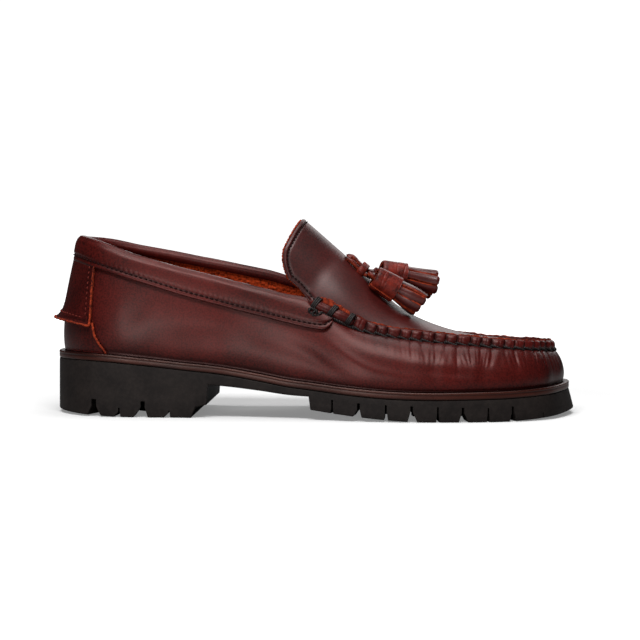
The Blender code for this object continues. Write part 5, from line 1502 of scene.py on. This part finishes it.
def make_outsole():
    """Rubber unit with rounded edges, chamfered edge grooves, recesses and centre lugs."""
    even = share_of(np.linspace(0, np.pi, 241))
    kept = [a for a in even if min(abs(a - f) for f in FEATURE_SHARES) > 0.0015]
    shares = np.array(sorted(kept + list(FEATURE_SHARES)))
    slant = BREAST_SLANT * ease(ramp(shares, 0.18, 0.25)) * ease(ramp(shares, 0.40, 0.30))
    flare = toe_flare(shares)
    outer = UPPER_EDGE_INSET * flare
    top, low = outsole_top(shares), underside(shares)
    rings = [sole_ring(shares, outer + 0.0007, top), sole_ring(shares, outer + 0.0001, top - 0.0004)]
    for part in (0.04, 0.35, 0.70, 1.0):
        height = (top - 0.0004) * (1 - part) + (low + TREAD_BEVEL) * part
        rings.append(sole_ring(shares, outer - flare * part, height, slant * part))
    for part in (0.35, 0.75, 1.0):
        turn = part * np.pi / 2
        inset = outer - flare + TREAD_BEVEL * (1 - math.cos(turn))
        rings.append(sole_ring(shares, inset, low + TREAD_BEVEL * (1 - math.sin(turn)), slant))
    body = solid_object("outsole_rubber", np.vstack(rings), stack_faces(len(rings), 2 * len(shares)))
    operands = (("recesses", recess_blocks, "DIFFERENCE"), ("grooves", groove_wedges, "DIFFERENCE"),
                ("stars", centre_lug_stars, "UNION"))
    cutters = []
    for name, make, operation in operands:
        operand = solid_object(name, *make())
        cut = body.modifiers.new(name, "BOOLEAN")
        cut.operation = operation
        cut.solver = "EXACT"
        cut.object = operand
        cutters.append(operand)
    bpy.context.view_layer.update()
    mesh = bpy.data.meshes.new_from_object(body.evaluated_get(bpy.context.evaluated_depsgraph_get()))
    body.modifiers.clear()
    body.data = mesh
    for operand in cutters:
        bpy.data.objects.remove(operand)
    mesh.materials.clear()
    mesh.materials.append(RUBBER)
    mesh.shade_smooth()
    mesh.set_sharp_from_angle(angle=math.radians(28))
    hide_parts("outsole")
    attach(body, "root")


# Section of the midsole's edge: inset and height in millimetres, and shade
# Its shade is painted shade on the top under the upper; it is also darker at the foot and in a middle line
MIDSOLE_SECTION = (
    (6.5, -4.0, 0.6), (0.25, -4.0, 0.6), (0.02, -3.8, 0.55), (-0.05, -3.2, 0.2), (-0.07, -2.5, 0.1),
    (-0.06, -1.75, 0.25), (0.02, -1.45, 0.7), (-0.08, -1.2, 0.2), (-0.14, -0.8, 0.0),
    (-0.08, -0.35, 0.1), (0.30, -0.08, 0.4), (1.0, 0.0, 0.8), (2.4, 0.0, 1.2), (7.5, -0.02, 1.2),
)


def make_midsole():
    """Leather midsole edge, slightly rounded, as one closed band."""
    q = np.linspace(-np.pi, np.pi, 641)[:-1]
    share = share_of(np.abs(q))
    flare = UPPER_EDGE_INSET * toe_flare(share)
    # Painted shade toward the heel
    rear = 0.25 * ease(ramp(share, 0.75, 0.0))
    rows, shades = [], []
    for inset, height, dark in MIDSOLE_SECTION:
        plan = outline(q, flare + inset * MM)
        z = sole_top(share) if inset < 2 else sole_top(share_at(plan[:, 0]))
        rows.append(np.column_stack([plan, z + height * MM]))
        shades.append(dark + rear)
    rows = np.array(rows)
    rows[1:-1, :, 2] += 0.00006 * wave_noise(rows, 220, 61)[1:-1]
    add_grid("midsole_band", rows, [EDGE_BROWN], close_rows=True, close_columns=True,
             shade=np.array(shades), replaces=["midsole"], slot="edge")


def dress_insole():
    """Material of the solid that stays as it is."""
    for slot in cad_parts["insole"].material_slots:
        slot.material = FOOTBED


# Floor and light


def make_floor():
    """Pale floor that the camera sees as white paper, and that throws little light back."""
    mesh = bpy.data.meshes.new("floor")
    corners = [(x * FLOOR_REACH, y * FLOOR_REACH, 0) for x, y in ((-1, -1), (1, -1), (1, 1), (-1, 1))]
    mesh.from_pydata(corners, [], [(0, 1, 2, 3)])
    white = surface("floor_white", (FLOOR_TONE,) * 3, 0.95, specular=0.0)
    tree = white.node_tree
    seen = node(tree, "LightPath").outputs["Is Camera Ray"]
    place = node(tree, "TexCoord").outputs["Object"]
    distance = node(tree, "VectorMath", {0: place}, operation="LENGTH").outputs["Value"]
    spread = node(tree, "MapRange", {"Value": distance, "From Min": GLOW_START, "From Max": GLOW_END,
                                     "To Min": FLOOR_GLOW, "To Max": PAPER_WHITE})
    glow = node(tree, "Math", {0: spread.outputs["Result"], 1: seen}, operation="MULTIPLY")
    tone = node(tree, "MapRange", {"Value": seen, "To Min": FLOOR_TONE, "To Max": FLOOR_SEEN})
    plug(tree, tree.nodes["Principled BSDF"], {
        "Base Color": tone.outputs["Result"], "Emission Color": WHITE,
        "Emission Strength": glow.outputs["Value"]})
    mesh.materials.append(white)
    floor = linked("floor", mesh)


def make_world():
    """White backdrop with a dimmer light of its own."""
    world = bpy.data.worlds.new("studio")
    bpy.context.scene.world = world
    world.use_nodes = True
    tree = world.node_tree
    lit = tree.nodes["Background"]
    plug(tree, lit, {"Color": WHITE, "Strength": WORLD_LIGHT})
    paper = node(tree, "Background", {"Color": WHITE, "Strength": PAPER_WHITE})
    seen = node(tree, "LightPath").outputs["Is Camera Ray"]
    mix = node(tree, "MixShader", {"Fac": seen, 1: lit.outputs["Background"], 2: paper.outputs["Background"]})
    plug(tree, tree.nodes["World Output"], {"Surface": mix.outputs["Shader"]})


def make_lights():
    for name, place, aim, size, power in LIGHTS:
        light = bpy.data.lights.new(name, "AREA")
        light.shape = "RECTANGLE"
        light.size, light.size_y = size
        light.energy = power
        lamp = linked(name, light)
        lamp.location = place
        lamp.rotation_euler = (Vector(aim) - Vector(place)).to_track_quat("-Z", "Y").to_euler()


def make_stage():
    bpy.context.scene.view_settings.view_transform = "Standard"
    make_floor()
    make_world()
    make_lights()


make_camera()
make_stage()
dress_insole()
make_quarters()
make_apron()
make_lining()
make_collar()
make_heel()
make_seam()
make_throat()
make_tassels()
make_midsole()
make_outsole()
